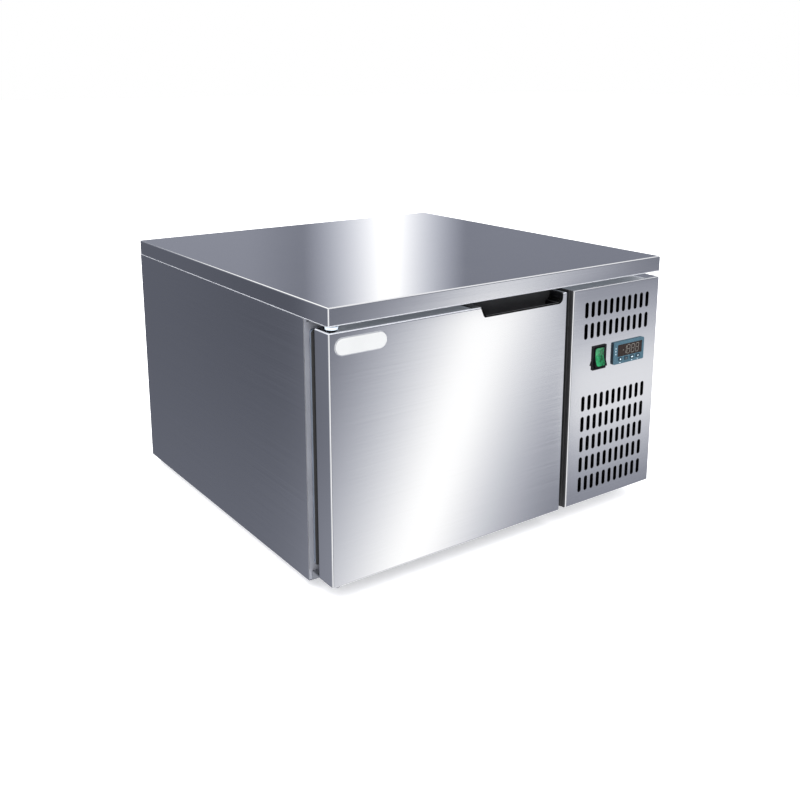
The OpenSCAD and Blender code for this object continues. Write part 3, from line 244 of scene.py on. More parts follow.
def dressed(node, body, slot, finish, width=0.3, segments=2):
    """A copy of a CAD node, its edges rounded by some millimetres, which stands for the node."""
    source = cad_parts[node]
    bm = bmesh.new()
    bm.from_mesh(source.data)
    bm.transform(source.matrix_world)
    bmesh.ops.remove_doubles(bm, verts=bm.verts, dist=1e-6)
    bmesh.ops.dissolve_limit(bm, angle_limit=math.radians(0.5), verts=bm.verts, edges=bm.edges)
    piece = bevel(piece_from(bm, node + "_finished"), width * MM, segments, 35)
    return hand_over(piece, body, slot, finish, node)


def two_tone(piece, finish, chosen):
    """Gives the faces that a test picks one more finish."""
    piece.data.materials.append(FINISH[finish])
    for polygon in piece.data.polygons:
        if chosen(polygon):
            polygon.material_index = len(piece.data.materials) - 1


def split_across(piece, x):
    """Cuts the faces of a piece in two where they cross a plane at right angles to X."""
    bm = bmesh.new()
    bm.from_mesh(piece.data)
    bmesh.ops.bisect_plane(bm, geom=[*bm.verts, *bm.edges, *bm.faces], plane_co=(x, 0, 0), plane_no=(1, 0, 0))
    bm.to_mesh(piece.data)
    bm.free()


# ------------------------------------------------------------------ node trees


class Tree:
    """A node tree being built. A socket is fed with a value, a socket or a node's first output."""

    def __init__(self, tree):
        self.tree = tree

    def feed(self, socket, value):
        if isinstance(value, bpy.types.Node):
            value = value.outputs[0]
        if isinstance(value, bpy.types.NodeSocket):
            self.tree.links.new(value, socket)
        else:
            socket.default_value = value

    def add(self, kind, inputs=None, **settings):
        made = self.tree.nodes.new(kind)
        for key, value in settings.items():
            setattr(made, key, value)
        for key, value in (inputs or {}).items():
            self.feed(made.inputs[key], value)
        return made

    def math(self, operation, *values):
        made = self.add("ShaderNodeMath", operation=operation)
        for socket, value in zip(made.inputs, (*values, 0.0, 0.0)):
            self.feed(socket, value)
        return made.outputs[0]

    def spread(self, value, low, high):
        """A mask from about 0.3 to 0.7 spread over the range from low to high."""
        return self.add("ShaderNodeMapRange", {"Value": value, "From Min": 0.3, "From Max": 0.7,
                                               "To Min": low, "To Max": high})

    def tinted(self, mask, low, high):
        """A colour between two colours by a mask."""
        made = self.add("ShaderNodeMix", {"Factor": mask, "A": (*low, 1), "B": (*high, 1)}, data_type="RGBA")
        return made.outputs["Result"]

    def bump(self, shader, height, strength, distance):
        self.feed(shader.inputs["Normal"], self.add(
            "ShaderNodeBump", {"Height": height, "Strength": strength, "Distance": distance}))


GEOMETRY = "NodeSocketGeometry"
SOCKETS = {float: "NodeSocketFloat", int: "NodeSocketInt", tuple: "NodeSocketVector"}


class Group(Tree):
    """A node group. Its inputs and outputs are given as defaults, or as a socket type that has none."""

    def __init__(self, name, kind, inputs, outputs):
        super().__init__(bpy.data.node_groups.new(name, kind))
        for side, sockets in (("INPUT", inputs), ("OUTPUT", outputs)):
            for label, value in sockets.items():
                plain = isinstance(value, str)
                socket = self.tree.interface.new_socket(
                    label, in_out=side, socket_type=value if plain else SOCKETS[type(value)])
                if not plain:
                    socket.default_value = value
        self.given = self.tree.nodes.new("NodeGroupInput").outputs
        self.result = self.tree.nodes.new("NodeGroupOutput").inputs

    def __getitem__(self, label):
        return self.given[label]

    def finish(self, geometry):
        """Ends a geometry tree with Realize Instances and Set Material."""
        real = self.add("GeometryNodeRealizeInstances", {"Geometry": geometry})
        painted = self.add("GeometryNodeSetMaterial", {"Geometry": real, "Material": self["Material"]})
        self.feed(self.result["Geometry"], painted)
        return self.tree


def geometry_group(name, inputs):
    inputs = {"Geometry": GEOMETRY, **inputs, "Material": "NodeSocketMaterial"}
    return Group(name, "GeometryNodeTree", inputs, {"Geometry": GEOMETRY})


def apply_tree(piece, tree, values):
    """Runs a geometry tree on a piece with the given inputs, and makes the result its plain mesh."""
    modify(piece, "NODES", node_group=tree)
    ids = {i.name: i.identifier for i in tree.interface.items_tree if i.in_out == "INPUT"}
    for label, value in values.items():
        piece.modifiers[0][ids[label]] = value
    return settle(piece)


@cache
def vent_slots():
    """Cuts rows of upright slots with round ends through a sheet that faces along Y."""
    g = geometry_group("Vent slots", {
        "Middle": (0, 0, 0), "Slot width": 0.0075, "Slot height": 0.0255, "Pitch": 0.014,
        "Row pitch": 0.0346, "Columns": 11, "Rows": 5, "Depth": 0.006})
    outline = g.add("GeometryNodeCurvePrimitiveQuadrilateral",
                    {"Width": g["Slot width"], "Height": g["Slot height"]})
    radius = g.math("MULTIPLY", g["Slot width"], 0.499)
    rounded = g.add("GeometryNodeFilletCurve", {"Curve": outline, "Radius": radius, "Count": 8}, mode="POLY")
    face = g.add("GeometryNodeFillCurve", {"Curve": rounded})
    depth = g.add("ShaderNodeCombineXYZ", {"Z": g["Depth"]})
    walls = g.add("GeometryNodeExtrudeMesh", {"Mesh": face, "Offset": depth, "Individual": False})
    solid = g.add("GeometryNodeJoinGeometry")
    for part in (walls, g.add("GeometryNodeFlipFaces", {"Mesh": face})):
        g.feed(solid.inputs[0], part)
    merged = g.add("GeometryNodeMergeByDistance", {"Geometry": solid, "Distance": 1e-6})
    across = g.math("MULTIPLY", g["Pitch"], g.math("SUBTRACT", g["Columns"], 1))
    upward = g.math("MULTIPLY", g["Row pitch"], g.math("SUBTRACT", g["Rows"], 1))
    grid = g.add("GeometryNodeMeshGrid", {"Size X": across, "Size Y": upward,
                                          "Vertices X": g["Columns"], "Vertices Y": g["Rows"]})
    copies = g.add("GeometryNodeInstanceOnPoints", {"Points": grid, "Instance": merged})
    tools = g.add("GeometryNodeRealizeInstances", {"Geometry": copies})
    placed = g.add("GeometryNodeTransform",
                   {"Geometry": tools, "Translation": g["Middle"], "Rotation": (RIGHT_ANGLE, 0, 0)})
    return g.finish(g.add("GeometryNodeMeshBoolean", {"Mesh 1": g["Geometry"], "Mesh 2": placed},
                          operation="DIFFERENCE", solver="EXACT"))


def cut_slots(sheet, centre, rows):
    """Cuts one field of vent slots whose middle is at the given point on the sheet's face."""
    size = bpy.context.scene.chiller_sizes
    apply_tree(sheet, vent_slots(), {
        "Middle": centre, "Slot width": size.slot_width, "Slot height": size.slot_height,
        "Pitch": size.slot_pitch, "Row pitch": size.row_pitch, "Columns": size.slot_columns, "Rows": rows,
        "Depth": 6 * MM, "Material": FINISH["drawn_steel"]})


@cache
def copies_on_points():
    """Sets copies of one piece on the points of a mesh, all turned alike."""
    g = geometry_group("Repeats", {"Piece": "NodeSocketObject", "Turn": (0, 0, 0)})
    piece = g.add("GeometryNodeObjectInfo", {"Object": g["Piece"]})
    return g.finish(g.add("GeometryNodeInstanceOnPoints", {
        "Points": g["Geometry"], "Instance": piece.outputs["Geometry"], "Rotation": g["Turn"]}))


def repeat(name, pattern, places, turn, finish):
    """One piece made of copies of a pattern at the given places. The pattern is used up."""
    mesh = bpy.data.meshes.new(name)
    mesh.from_pydata(places, [], [])
    piece = apply_tree(new_object(name, mesh), copies_on_points(),
                       {"Piece": pattern, "Turn": (turn, 0, 0), "Material": FINISH[finish]})
    bpy.data.objects.remove(pattern)
    return piece


@cache
def wire_rings():
    """Evenly spaced rings of wire round the Y axis."""
    g = geometry_group("Wire rings", {"Middle": (0, 0, 0), "Outer radius": 0.1, "Rings": 5, "Wire": 0.003})
    points = g.add("GeometryNodePoints", {"Count": g["Rings"]})
    number = g.math("ADD", g.add("GeometryNodeInputIndex"), 1.0)
    radius = g.math("DIVIDE", g.math("MULTIPLY", number, g["Outer radius"]), g["Rings"])
    scale = g.add("ShaderNodeCombineXYZ", {"X": radius, "Y": radius, "Z": 1.0})
    circle = g.add("GeometryNodeCurvePrimitiveCircle", {"Resolution": 72, "Radius": 1.0})
    rings = g.add("GeometryNodeInstanceOnPoints", {"Points": points, "Instance": circle, "Scale": scale})
    curves = g.add("GeometryNodeRealizeInstances", {"Geometry": rings})
    section = g.add("GeometryNodeCurvePrimitiveCircle",
                    {"Resolution": 10, "Radius": g.math("DIVIDE", g["Wire"], 2.0)})
    wires = g.add("GeometryNodeCurveToMesh", {"Curve": curves, "Profile Curve": section})
    return g.finish(g.add("GeometryNodeTransform", {
        "Geometry": wires, "Translation": g["Middle"], "Rotation": (RIGHT_ANGLE, 0, 0)}))


# ------------------------------------------------------------------ finishes


FINISH = {}


@cache
def drawn_grain():
    """Fine parallel lines of drawn steel. The stretch is small along the grain and large across it."""
    g = Group("Drawn grain", "ShaderNodeTree",
              {"Vector": (0, 0, 0), "Stretch": (4, 900, 900), "Cloud size": 5.0},
              {"Lines": 0.0, "Clouds": 0.0, "Height": 0.0})
    stretched = g.add("ShaderNodeVectorMath", {0: g["Vector"], 1: g["Stretch"]}, operation="MULTIPLY")
    lines = g.add("ShaderNodeTexNoise", {"Vector": stretched, "Scale": 1.0, "Detail": 3.0, "Roughness": 0.65})
    clouds = g.add("ShaderNodeTexNoise", {"Vector": g["Vector"], "Scale": g["Cloud size"], "Detail": 2.0})
    for label, noise in (("Lines", lines), ("Clouds", clouds), ("Height", lines)):
        g.feed(g.result[label], noise)
    return g.tree


@cache
def moulded_texture():
    """The fine spark-eroded texture of moulded plastic."""
    g = Group("Moulded texture", "ShaderNodeTree",
              {"Vector": (0, 0, 0), "Grain size": 900.0, "Wear size": 40.0}, {"Grain": 0.0, "Wear": 0.0})
    for label, detail in (("Grain", 2.0), ("Wear", 4.0)):
        size = g[label + " size"]
        noise = g.add("ShaderNodeTexNoise", {"Vector": g["Vector"], "Scale": size, "Detail": detail})
        g.feed(g.result[label], noise)
    return g.tree


def new_material(name, **constants):
    """A finish's tree, its shader with these plain sockets set, and its object coordinates."""
    material = bpy.data.materials.new(name)
    material.use_nodes = True
    FINISH[name] = material
    tree = Tree(material.node_tree)
    shader = material.node_tree.nodes["Principled BSDF"]
    for label, value in constants.items():
        shader.inputs[label.replace("_", " ")].default_value = value
    return tree, shader, tree.add("ShaderNodeTexCoord").outputs["Object"]


def shades(colour, *parts):
    """A colour times each of some factors, at most white."""
    return [tuple(min(1, c * part) for c in colour) for part in parts]


def steel(name, colour, roughness, along="X", variation=0.03, depth=0.012):
    """Drawn sheet steel with its grain along one axis."""
    tree, shader, place = new_material(name, Metallic=1.0)
    stretch = tuple(3 if axis == along else 1100 for axis in "XYZ")
    grain = tree.add("ShaderNodeGroup", {"Vector": place, "Stretch": stretch}, node_tree=drawn_grain())
    lines, clouds = grain.outputs["Lines"], grain.outputs["Clouds"]
    tint = tree.tinted(tree.spread(lines, 0, 1), *shades(colour, 1 - variation, 1 + variation))
    tree.feed(shader.inputs["Base Color"], tint)
    tree.feed(shader.inputs["Roughness"], tree.math(
        "ADD", tree.spread(clouds, -0.01, 0.01), tree.spread(lines, roughness - 0.02, roughness + 0.02)))
    tree.bump(shader, grain.outputs["Height"], depth, 0.0002)


def plastic(name, colour, roughness, grain=900.0, depth=0.15, variation=0.12, **constants):
    """Moulded plastic or rubber with a fine texture and slight wear."""
    tree, shader, place = new_material(name, **constants)
    texture = tree.add("ShaderNodeGroup", {"Vector": place, "Grain size": grain}, node_tree=moulded_texture())
    wear = texture.outputs["Wear"]
    tint = tree.tinted(tree.spread(wear, 0, 1), *shades(colour, 1 - variation, 1 + variation))
    tree.feed(shader.inputs["Base Color"], tint)
    tree.feed(shader.inputs["Roughness"], tree.spread(wear, roughness - 0.05, roughness + 0.05))
    tree.bump(shader, texture.outputs["Grain"], depth, 0.0003)


def lit_lens(name, colour):
    """Clear green plastic over moulded ribs, with painted light: a glow over the left third that is partly
    lamp light and partly a painted highlight, and rib facets that paint glints.
    """
    tree, shader, place = new_material(name, Roughness=0.2, Coat_Weight=0.25, Emission_Strength=0.3)
    # Painted glints: the rib facets are tinted from light to dark over the moulded ribs
    ribs = tree.add("ShaderNodeTexVoronoi", {"Vector": place, "Scale": 260.0}, feature="F1")
    facets = tree.add("ShaderNodeMapRange", {"Value": ribs, "From Max": 0.8})
    tree.feed(shader.inputs["Base Color"], tree.tinted(facets, *shades(colour, 0.5, 0.14)))
    # Painted highlight: the glow is strongest over the lens's left third, partly lamp light and partly
    # painted light
    lamp = middle(ROCKER).x - 8 * MM
    across = tree.add("ShaderNodeSeparateXYZ", {0: place})
    away = tree.math("ABSOLUTE", tree.math("SUBTRACT", across, lamp))
    painted_glow = tree.add("ShaderNodeMapRange", {"Value": away, "From Min": 1 * MM, "From Max": 7 * MM,
                                           "To Min": 1.0, "To Max": 0.0}, interpolation_type="SMOOTHSTEP")
    tree.feed(shader.inputs["Emission Color"], tree.tinted(painted_glow, (0.0, 0.01, 0.004), (0.06, 0.62, 0.24)))
    tree.bump(shader, ribs, 0.25, 0.0006)


def make_finishes():
    """Makes every finish, under the name that the pieces use."""
    tone = bpy.context.scene.chiller_finish
    steel("drawn_steel", tone.steel, tone.steel_roughness)
    steel("drawn_steel_side", tone.steel, tone.steel_roughness + 0.03, "Y")
    steel("inner_steel", (0.66, 0.67, 0.68), 0.32, "Y")
    # Darker than bare galvanised steel: painted shade for the machine compartment seen through the slots
    steel("galvanised_steel", (0.30, 0.31, 0.33), 0.45, "X", 0.12, 0.1)
    steel("zinc_plated_steel", (0.42, 0.43, 0.45), 0.35, "Y", 0.08)
    steel("plated_wire", (0.72, 0.73, 0.74), 0.18, "Z")
    steel("screw_steel", (0.55, 0.56, 0.58), 0.25, "X", 0.06)
    steel("coil_fins", (0.62, 0.63, 0.64), 0.35, "Z", 0.10, 0.1)
    # Darker than bare copper: painted shade for the pipes seen through the slots
    steel("copper_tube", (0.42, 0.20, 0.12), 0.4, "Z", 0.15)
    steel("fan_blade", (0.30, 0.31, 0.33), 0.45, "X", 0.08)
    # Blackened steel for the hinge pin, and painted shade on faces that stand in the dark inside the machine
    steel("blackened_steel", (0.04, 0.04, 0.044), 0.5, "X", 0.05)
    steel("badge_rim", (0.74, 0.75, 0.76), 0.2)
    plastic("black_enamel", (0.018, 0.018, 0.02), 0.32, 300, 0.1)
    plastic("black_plastic", tone.plastic, 0.38, Specular_IOR_Level=0.2)
    plastic("grip_plastic", (0.034, 0.034, 0.035), 0.6, 700, 0.5, Specular_IOR_Level=0.25)
    plastic("grip_rim_plastic", (0.002, 0.002, 0.002), 0.6, 700, 0.1, Specular_IOR_Level=0.1)
    # Painted shade: the dark strip fills the gap between door and control panel
    plastic("side_strip_plastic", (0.030, 0.030, 0.031), 0.45)
    plastic("nylon", (0.72, 0.82, 0.93), 0.3, 500, 0.05)
    plastic("drain_plastic", (0.75, 0.75, 0.73), 0.4)
    plastic("foot_rubber", (0.02, 0.02, 0.02), 0.7)
    plastic("gasket_rubber", (0.12, 0.14, 0.18), 0.5)
    plastic("insulation_foam", (0.82, 0.72, 0.45), 0.9, 400, 0.8)
    plastic("core_board", (0.55, 0.56, 0.58), 0.7, 200, 0.3)
    plastic("blasted_frame", (0.36, 0.37, 0.41), 0.55, 500, 0.1, 0.05, Metallic=0.25)
    # Painted light: the worktop's underside glows faintly, standing in for light that reaches the gap above
    # the door
    plastic("lit_underside", (0.5, 0.51, 0.53), 0.6, 500, 0.05, 0.05,
            Emission_Color=(0.135, 0.15, 0.172, 1), Emission_Strength=1.0)
    # Painted highlight: a paler, less metallic finish on folds, so that they read as bright edge lines
    plastic("ground_edge", (0.58, 0.59, 0.62), 0.35, 500, 0.05, 0.04, Metallic=0.4)
    plastic("controller_plastic", tone.controller, 0.38)
    # Painted shade for the controller's left side
    plastic("controller_side_plastic", (0.008, 0.018, 0.028), 0.5, Specular_IOR_Level=0.25)
    plastic("key_plastic", (0.012, 0.034, 0.052), 0.5)
    plastic("display_window", (0.018, 0.012, 0.010), 0.25, 200, 0.0, 0.2, Specular_IOR_Level=0.15)
    plastic("display_segment", (0.20, 0.19, 0.165), 0.5, 300, 0.0)
    plastic("printed_mark", (0.50, 0.63, 0.70), 0.5, 300, 0.0)
    plastic("badge_enamel", (0.50, 0.505, 0.50), 0.4, 200, 0.0, 0.03)
    lit_lens("rocker_lens", tone.rocker)


# The CAD nodes by the finish that they get, those that pieces stand for included
NODE_FINISH = {
    "drawn_steel": ["worktop", "control_panel", "back_panel", "door_skin"],
    "blasted_frame": ["front_frame"],
    "drawn_steel_side": ["left_side_panel", "right_side_panel"],
    "inner_steel": ["chamber_liner", "tray_rack_left", "tray_rack_right", "evaporator_cover", "drip_tray",
                    "air_probe"],
    "galvanised_steel": ["base_plate", "partition", "electrical_box", "electrical_box_cover"],
    "plated_wire": ["fan_guard"],
    "core_board": ["worktop_core"],
    "insulation_foam": ["foam_insulation", "door_foam"],
    "zinc_plated_steel": ["upper_hinge_plate", "lower_hinge_plate", "upper_hinge_pin"],
    "black_enamel": ["compressor", "evaporator_fan_bracket", "condenser_fan_bracket", "evaporator_fan_motor",
                     "condenser_fan_motor", "condenser_coil", "condenser_shroud"],
    "fan_blade": ["evaporator_fan", "condenser_fan"],
    "coil_fins": ["evaporator_coil"],
    "copper_tube": ["filter_drier", "discharge_line", "liquid_line", "suction_line"],
    "black_plastic": ["door_pan", "mains_gland", "compressor_terminal_cover", "switch_housing",
                      "switch_rocker"],
    "grip_plastic": ["door_grip"],
    "side_strip_plastic": ["panel_side_strip"],
    "nylon": ["upper_hinge_bush", "lower_hinge_bush"],
    "drain_plastic": ["drain_pipe"],
    "foot_rubber": ["feet", "compressor_grommets"],
    "gasket_rubber": ["door_gasket"],
    "controller_plastic": ["controller_housing"],
    "key_plastic": KEYS,
    "display_window": ["display_window"],
    "badge_enamel": ["badge_plate"],
    "screw_steel": ["machine_bolts", "case_screws"],
}


def dress_nodes():
    """Gives every CAD node its finish."""
    for finish, nodes in NODE_FINISH.items():
        for name in nodes:
            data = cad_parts[name].data
            data.materials.clear()
            data.materials.append(FINISH[finish])


# ------------------------------------------------------------------ settings


class ChillerSizes(bpy.types.PropertyGroup):
    bend: bpy.props.FloatProperty(
        name="Bend radius", description="Outer radius of the folds in the steel sheets",
        default=2.2 * MM, unit="LENGTH")
    sheet: bpy.props.FloatProperty(
        name="Sheet thickness", description="Thickness of the outer sheets", default=1.0 * MM, unit="LENGTH")
    slot_width: bpy.props.FloatProperty(
        name="Slot width", description="Width of one vent slot", default=7.5 * MM, unit="LENGTH")
    slot_height: bpy.props.FloatProperty(
        name="Slot height", description="Height of one vent slot", default=25.5 * MM, unit="LENGTH")
    slot_pitch: bpy.props.FloatProperty(
        name="Slot pitch", description="Distance between neighbouring slots", default=14 * MM, unit="LENGTH")
    row_pitch: bpy.props.FloatProperty(
        name="Row pitch", description="Distance between rows of slots", default=34.6 * MM, unit="LENGTH")
    slot_columns: bpy.props.IntProperty(name="Slots in a row", description="Slots in one row", default=11)


class ChillerFinish(bpy.types.PropertyGroup):
    steel: bpy.props.FloatVectorProperty(
        name="Steel", description="Colour of the outer sheets", subtype="COLOR", size=3, min=0, max=1,
        default=(0.65, 0.65, 0.652))
    steel_roughness: bpy.props.FloatProperty(
        name="Steel roughness", description="Roughness of the outer sheets", default=0.085, min=0, max=1)
    plastic: bpy.props.FloatVectorProperty(
        name="Black plastic", description="Colour of the black mouldings", subtype="COLOR", size=3, min=0,
        max=1, default=(0.005, 0.005, 0.006))
    controller: bpy.props.FloatVectorProperty(
        name="Controller", description="Colour of the controller's face", subtype="COLOR", size=3, min=0,
        max=1, default=(0.037, 0.095, 0.13))
    rocker: bpy.props.FloatVectorProperty(
        name="Rocker", description="Colour of the lit rocker", subtype="COLOR", size=3, min=0, max=1,
        default=(0.02, 0.36, 0.12))


# ------------------------------------------------------------------ stage


# The studio's lightness by direction, as what a mirror would show: 1 is white. A light stands round a line,
# in a window with soft edges. Its columns are the line's centre and lean, its even core, how far it reaches
# to both sides, the window, the width of the window's edge, and the level.
LIGHT_COLUMNS = ["Centre", "Lean", "Core", "Reach below", "Reach above", "From", "To", "Bottom", "Top",
                 "Edge", "Level"]
FAR = 999.0
EVEN = 9e6
DOOR_END = 1.023
FRONT_TOP = -0.308
# On the wall that the chiller faces, by slope: across and up for the door's leaning band and its edges,
# then up and across for the panel's level band
WALL_LIGHTS = [
    (1.0015, 0.41, 0.06, 0.44, 0.455, 0.0, DOOR_END, -FAR, FRONT_TOP, 0.002, 1.03),
    (1.0015, 0.41, 0.0, 0.53, 0.69, 0.0, DOOR_END, -FAR, FRONT_TOP, 0.002, 0.86),
    (1.0015, 0.41, 0.055, 0.52, 0.66, 0.0, FAR, FRONT_TOP, -0.2, 0.002, 0.82),
]
LEVEL_LIGHTS = [
    (-0.4859, 0.0, 0.1, 0.33, 0.365, -FAR, FRONT_TOP, DOOR_END, 1.6, 0.002, 0.875),
    (-0.4859, 0.0, 0.0, EVEN, EVEN, -FAR, FRONT_TOP, DOOR_END, 1.6, 0.002, 0.53),
]
# Round the room, by azimuth, clockwise from the back, and elevation in degrees
ROOM_LIGHTS = [
    (34.9, 0.0, 0.02, 9.0, 8.0, -FAR, FAR, 1.0, 20.0, 1.0, 1.0),
    (0.0, 0.0, 0.0, 900.0, 900.0, -FAR, FAR, 22.0, FAR, 4.0, 1.03),
    (0.0, 0.0, 0.0, 900.0, 900.0, -FAR, FAR, -FAR, -44.0, 5.0, 1.0),
    (26.0, 0.0, 0.5, 20.0, 20.0, -FAR, FAR, -50.0, -8.0, 3.0, 1.03),
    (-140.0, 0.0, 0.35, 60.0, 60.0, -FAR, FAR, -60.0, 26.0, 8.0, 1.0),
    (74.0, 0.0, 0.0, 36.0, 45.0, -FAR, FAR, -60.0, 26.0, 8.0, 0.98),
    (-72.0, 0.0, 0.0, 42.0, 34.0, -FAR, FAR, -60.0, 26.0, 8.0, 0.98),
]
# Darker and lighter parts of the surround: the window, the width of its edge, and the level
SURROUND = 0.45
CARDS = [
    (-60.0, 28.0, 0.0, 30.0, 2.0, 0.505),
    (40.0, 90.0, 0.0, 30.0, 2.0, 0.46),
    (-30.0, 5.0, -60.0, 0.0, 0.3, 0.33),
    (-25.0, 9.0, -60.0, 0.0, 4.0, 0.365),
    (-30.0, 5.0, -60.0, -20.0, 7.0, 0.40),
    (-45.0, -30.0, -60.0, 0.0, 0.3, 0.445),
    (-45.0, -30.0, -60.0, -24.0, 5.0, 0.56),
]


@cache
def soft_light():
    """A soft light whose lightness falls evenly to both sides of a leaning line, inside a window."""
    g = Group("Soft light", "ShaderNodeTree", dict.fromkeys(["Across", "Up", *LIGHT_COLUMNS], 0.0),
              {"Lightness": 0.0})
    line = g.math("MULTIPLY_ADD", g["Up"], g["Lean"], g["Centre"])
    off = g.math("SUBTRACT", g["Across"], line)
    below = g.math("DIVIDE", g.math("MULTIPLY", off, -1.0), g["Reach below"])
    above = g.math("DIVIDE", off, g["Reach above"])
    fall = g.math("SUBTRACT", g.math("MAXIMUM", below, above), g["Core"])
    light = g.math("SUBTRACT", 1.0, g.math("MAXIMUM", fall, 0.0))
    light = g.math("MULTIPLY", g.math("MAXIMUM", light, 0.0), g["Level"])
    for value, limit, before in (("Across", "From", 0.0), ("Across", "To", 1.0), ("Up", "Bottom", 0.0),
                                 ("Up", "Top", 1.0)):
        mask = g.add("ShaderNodeMapRange",
                     {"Value": g[value], "From Min": g.math("SUBTRACT", g[limit], g["Edge"]),
                      "From Max": g.math("ADD", g[limit], g["Edge"]), "To Min": before,
                      "To Max": 1.0 - before}, interpolation_type="SMOOTHSTEP")
        light = g.math("MULTIPLY", light, mask)
    g.feed(g.result["Lightness"], light)
    return g.tree


def make_studio():
    """Plain white for the camera, and soft lights on a grey surround for reflections and light."""
    world = bpy.data.worlds.new("Studio")
    bpy.context.scene.world = world
    world.use_nodes = True
    world.node_tree.nodes.clear()
    tree = Tree(world.node_tree)
    direction = tree.add("ShaderNodeTexCoord").outputs["Generated"]
    x, y, z = tree.add("ShaderNodeSeparateXYZ", {0: direction}).outputs
    azimuth = tree.math("DEGREES", tree.math("ARCTAN2", x, y))
    elevation = tree.math("DEGREES", tree.math("ARCSINE", z))
    ahead = tree.math("MAXIMUM", tree.math("MULTIPLY", y, -1.0), 0.0001)
    across = tree.math("DIVIDE", x, ahead)
    up = tree.math("DIVIDE", z, ahead)

    def light(first, second, row):
        inputs = {"Across": first, "Up": second, **dict(zip(LIGHT_COLUMNS, row))}
        return tree.add("ShaderNodeGroup", inputs, node_tree=soft_light()).outputs["Lightness"]

    total = SURROUND
    for *window, level in CARDS:
        mask = light(azimuth, elevation, (0.0, 0.0, 0.0, EVEN, EVEN, *window, 1.0))
        total = tree.add("ShaderNodeMix", {"Factor": mask, "A": total, "B": level}).outputs["Result"]
    for first, second, lights in ((across, up, WALL_LIGHTS), (up, across, LEVEL_LIGHTS),
                                  (azimuth, elevation, ROOM_LIGHTS)):
        for row in lights:
            total = tree.math("MAXIMUM", total, light(first, second, row))
    # Dim light is cooler, and a mirror of steel takes a third of the light
    warmth = tree.add("ShaderNodeMapRange", {"Value": total, "From Min": 0.25})
    tint = tree.tinted(warmth, (0.86, 0.93, 1.21), (1.0, 1.0, 1.0))
    power = tree.math("MULTIPLY", tree.math("POWER", total, 2.2), 1.53)
    mirrored = tree.add("ShaderNodeVectorMath", {0: tint, "Scale": power}, operation="SCALE")
    path = tree.add("ShaderNodeLightPath")
    seen = tree.add("ShaderNodeMix", {"Factor": path.outputs["Is Camera Ray"], "A": mirrored,
                                      "B": (1, 1, 1, 1)}, data_type="RGBA")
    background = tree.add("ShaderNodeBackground", {"Color": seen.outputs["Result"], "Strength": 1.0})
    tree.add("ShaderNodeOutputWorld", {"Surface": background})


class CHILLER_OT_stage(bpy.types.Operator):
    """Pale lit floor, soft studio light and the camera at the photograph's viewing angle"""

    bl_idname = "chiller.stage"
    bl_label = "Stage"

    def execute(self, context):
        context.scene.view_settings.view_transform = "Standard"
        make_studio()
        bm = bmesh.new()
        bmesh.ops.create_grid(bm, x_segments=1, y_segments=1, size=30)
        floor = piece_from(bm, "floor")
        new_material("floor_paper", Roughness=0.9, Base_Color=(0.92, 0.92, 0.92, 1), Emission_Strength=0.4)
        floor.data.materials.append(FINISH["floor_paper"])
        floor.visible_glossy = False
        sun = bpy.data.lights.new("overhead_light", "SUN")
        sun.energy = 2.9
        sun.angle = math.radians(70)
        lamp = new_object("overhead_light", sun)
        lamp.rotation_euler = (math.radians(18), math.radians(-14), 0)
        lamp.visible_glossy = False
        self.place_camera(context.scene)
        return {"FINISHED"}

    def place_camera(self, scene):
        """The photograph's view: its place, turn, focal length and small upward shift."""
        azimuth, elevation = math.radians(-35.53), math.radians(12.96)
        picture, focal, centre_row, sensor = 800.0, 969.2, 300.0, 36.0
        data = bpy.data.cameras.new("camera")
        data.sensor_width = sensor
        data.lens = focal * sensor / picture
        data.shift_y = -(picture / 2 - centre_row) / picture
        data.clip_end = 100
        camera = new_object("camera", data)
        corner = Vector((WORKTOP[0].x, WORKTOP[0].y, WORKTOP[1].z))
        camera.location = corner + Vector((-622.3, -1029.2, 287.0)) * MM
        back = Vector((math.sin(azimuth) * math.cos(elevation), -math.cos(azimuth) * math.cos(elevation),
                       math.sin(elevation)))
        camera.rotation_mode = "QUATERNION"
        camera.rotation_quaternion = (-back).to_track_quat("-Z", "Y")
        scene.camera = camera


# ------------------------------------------------------------------ pieces


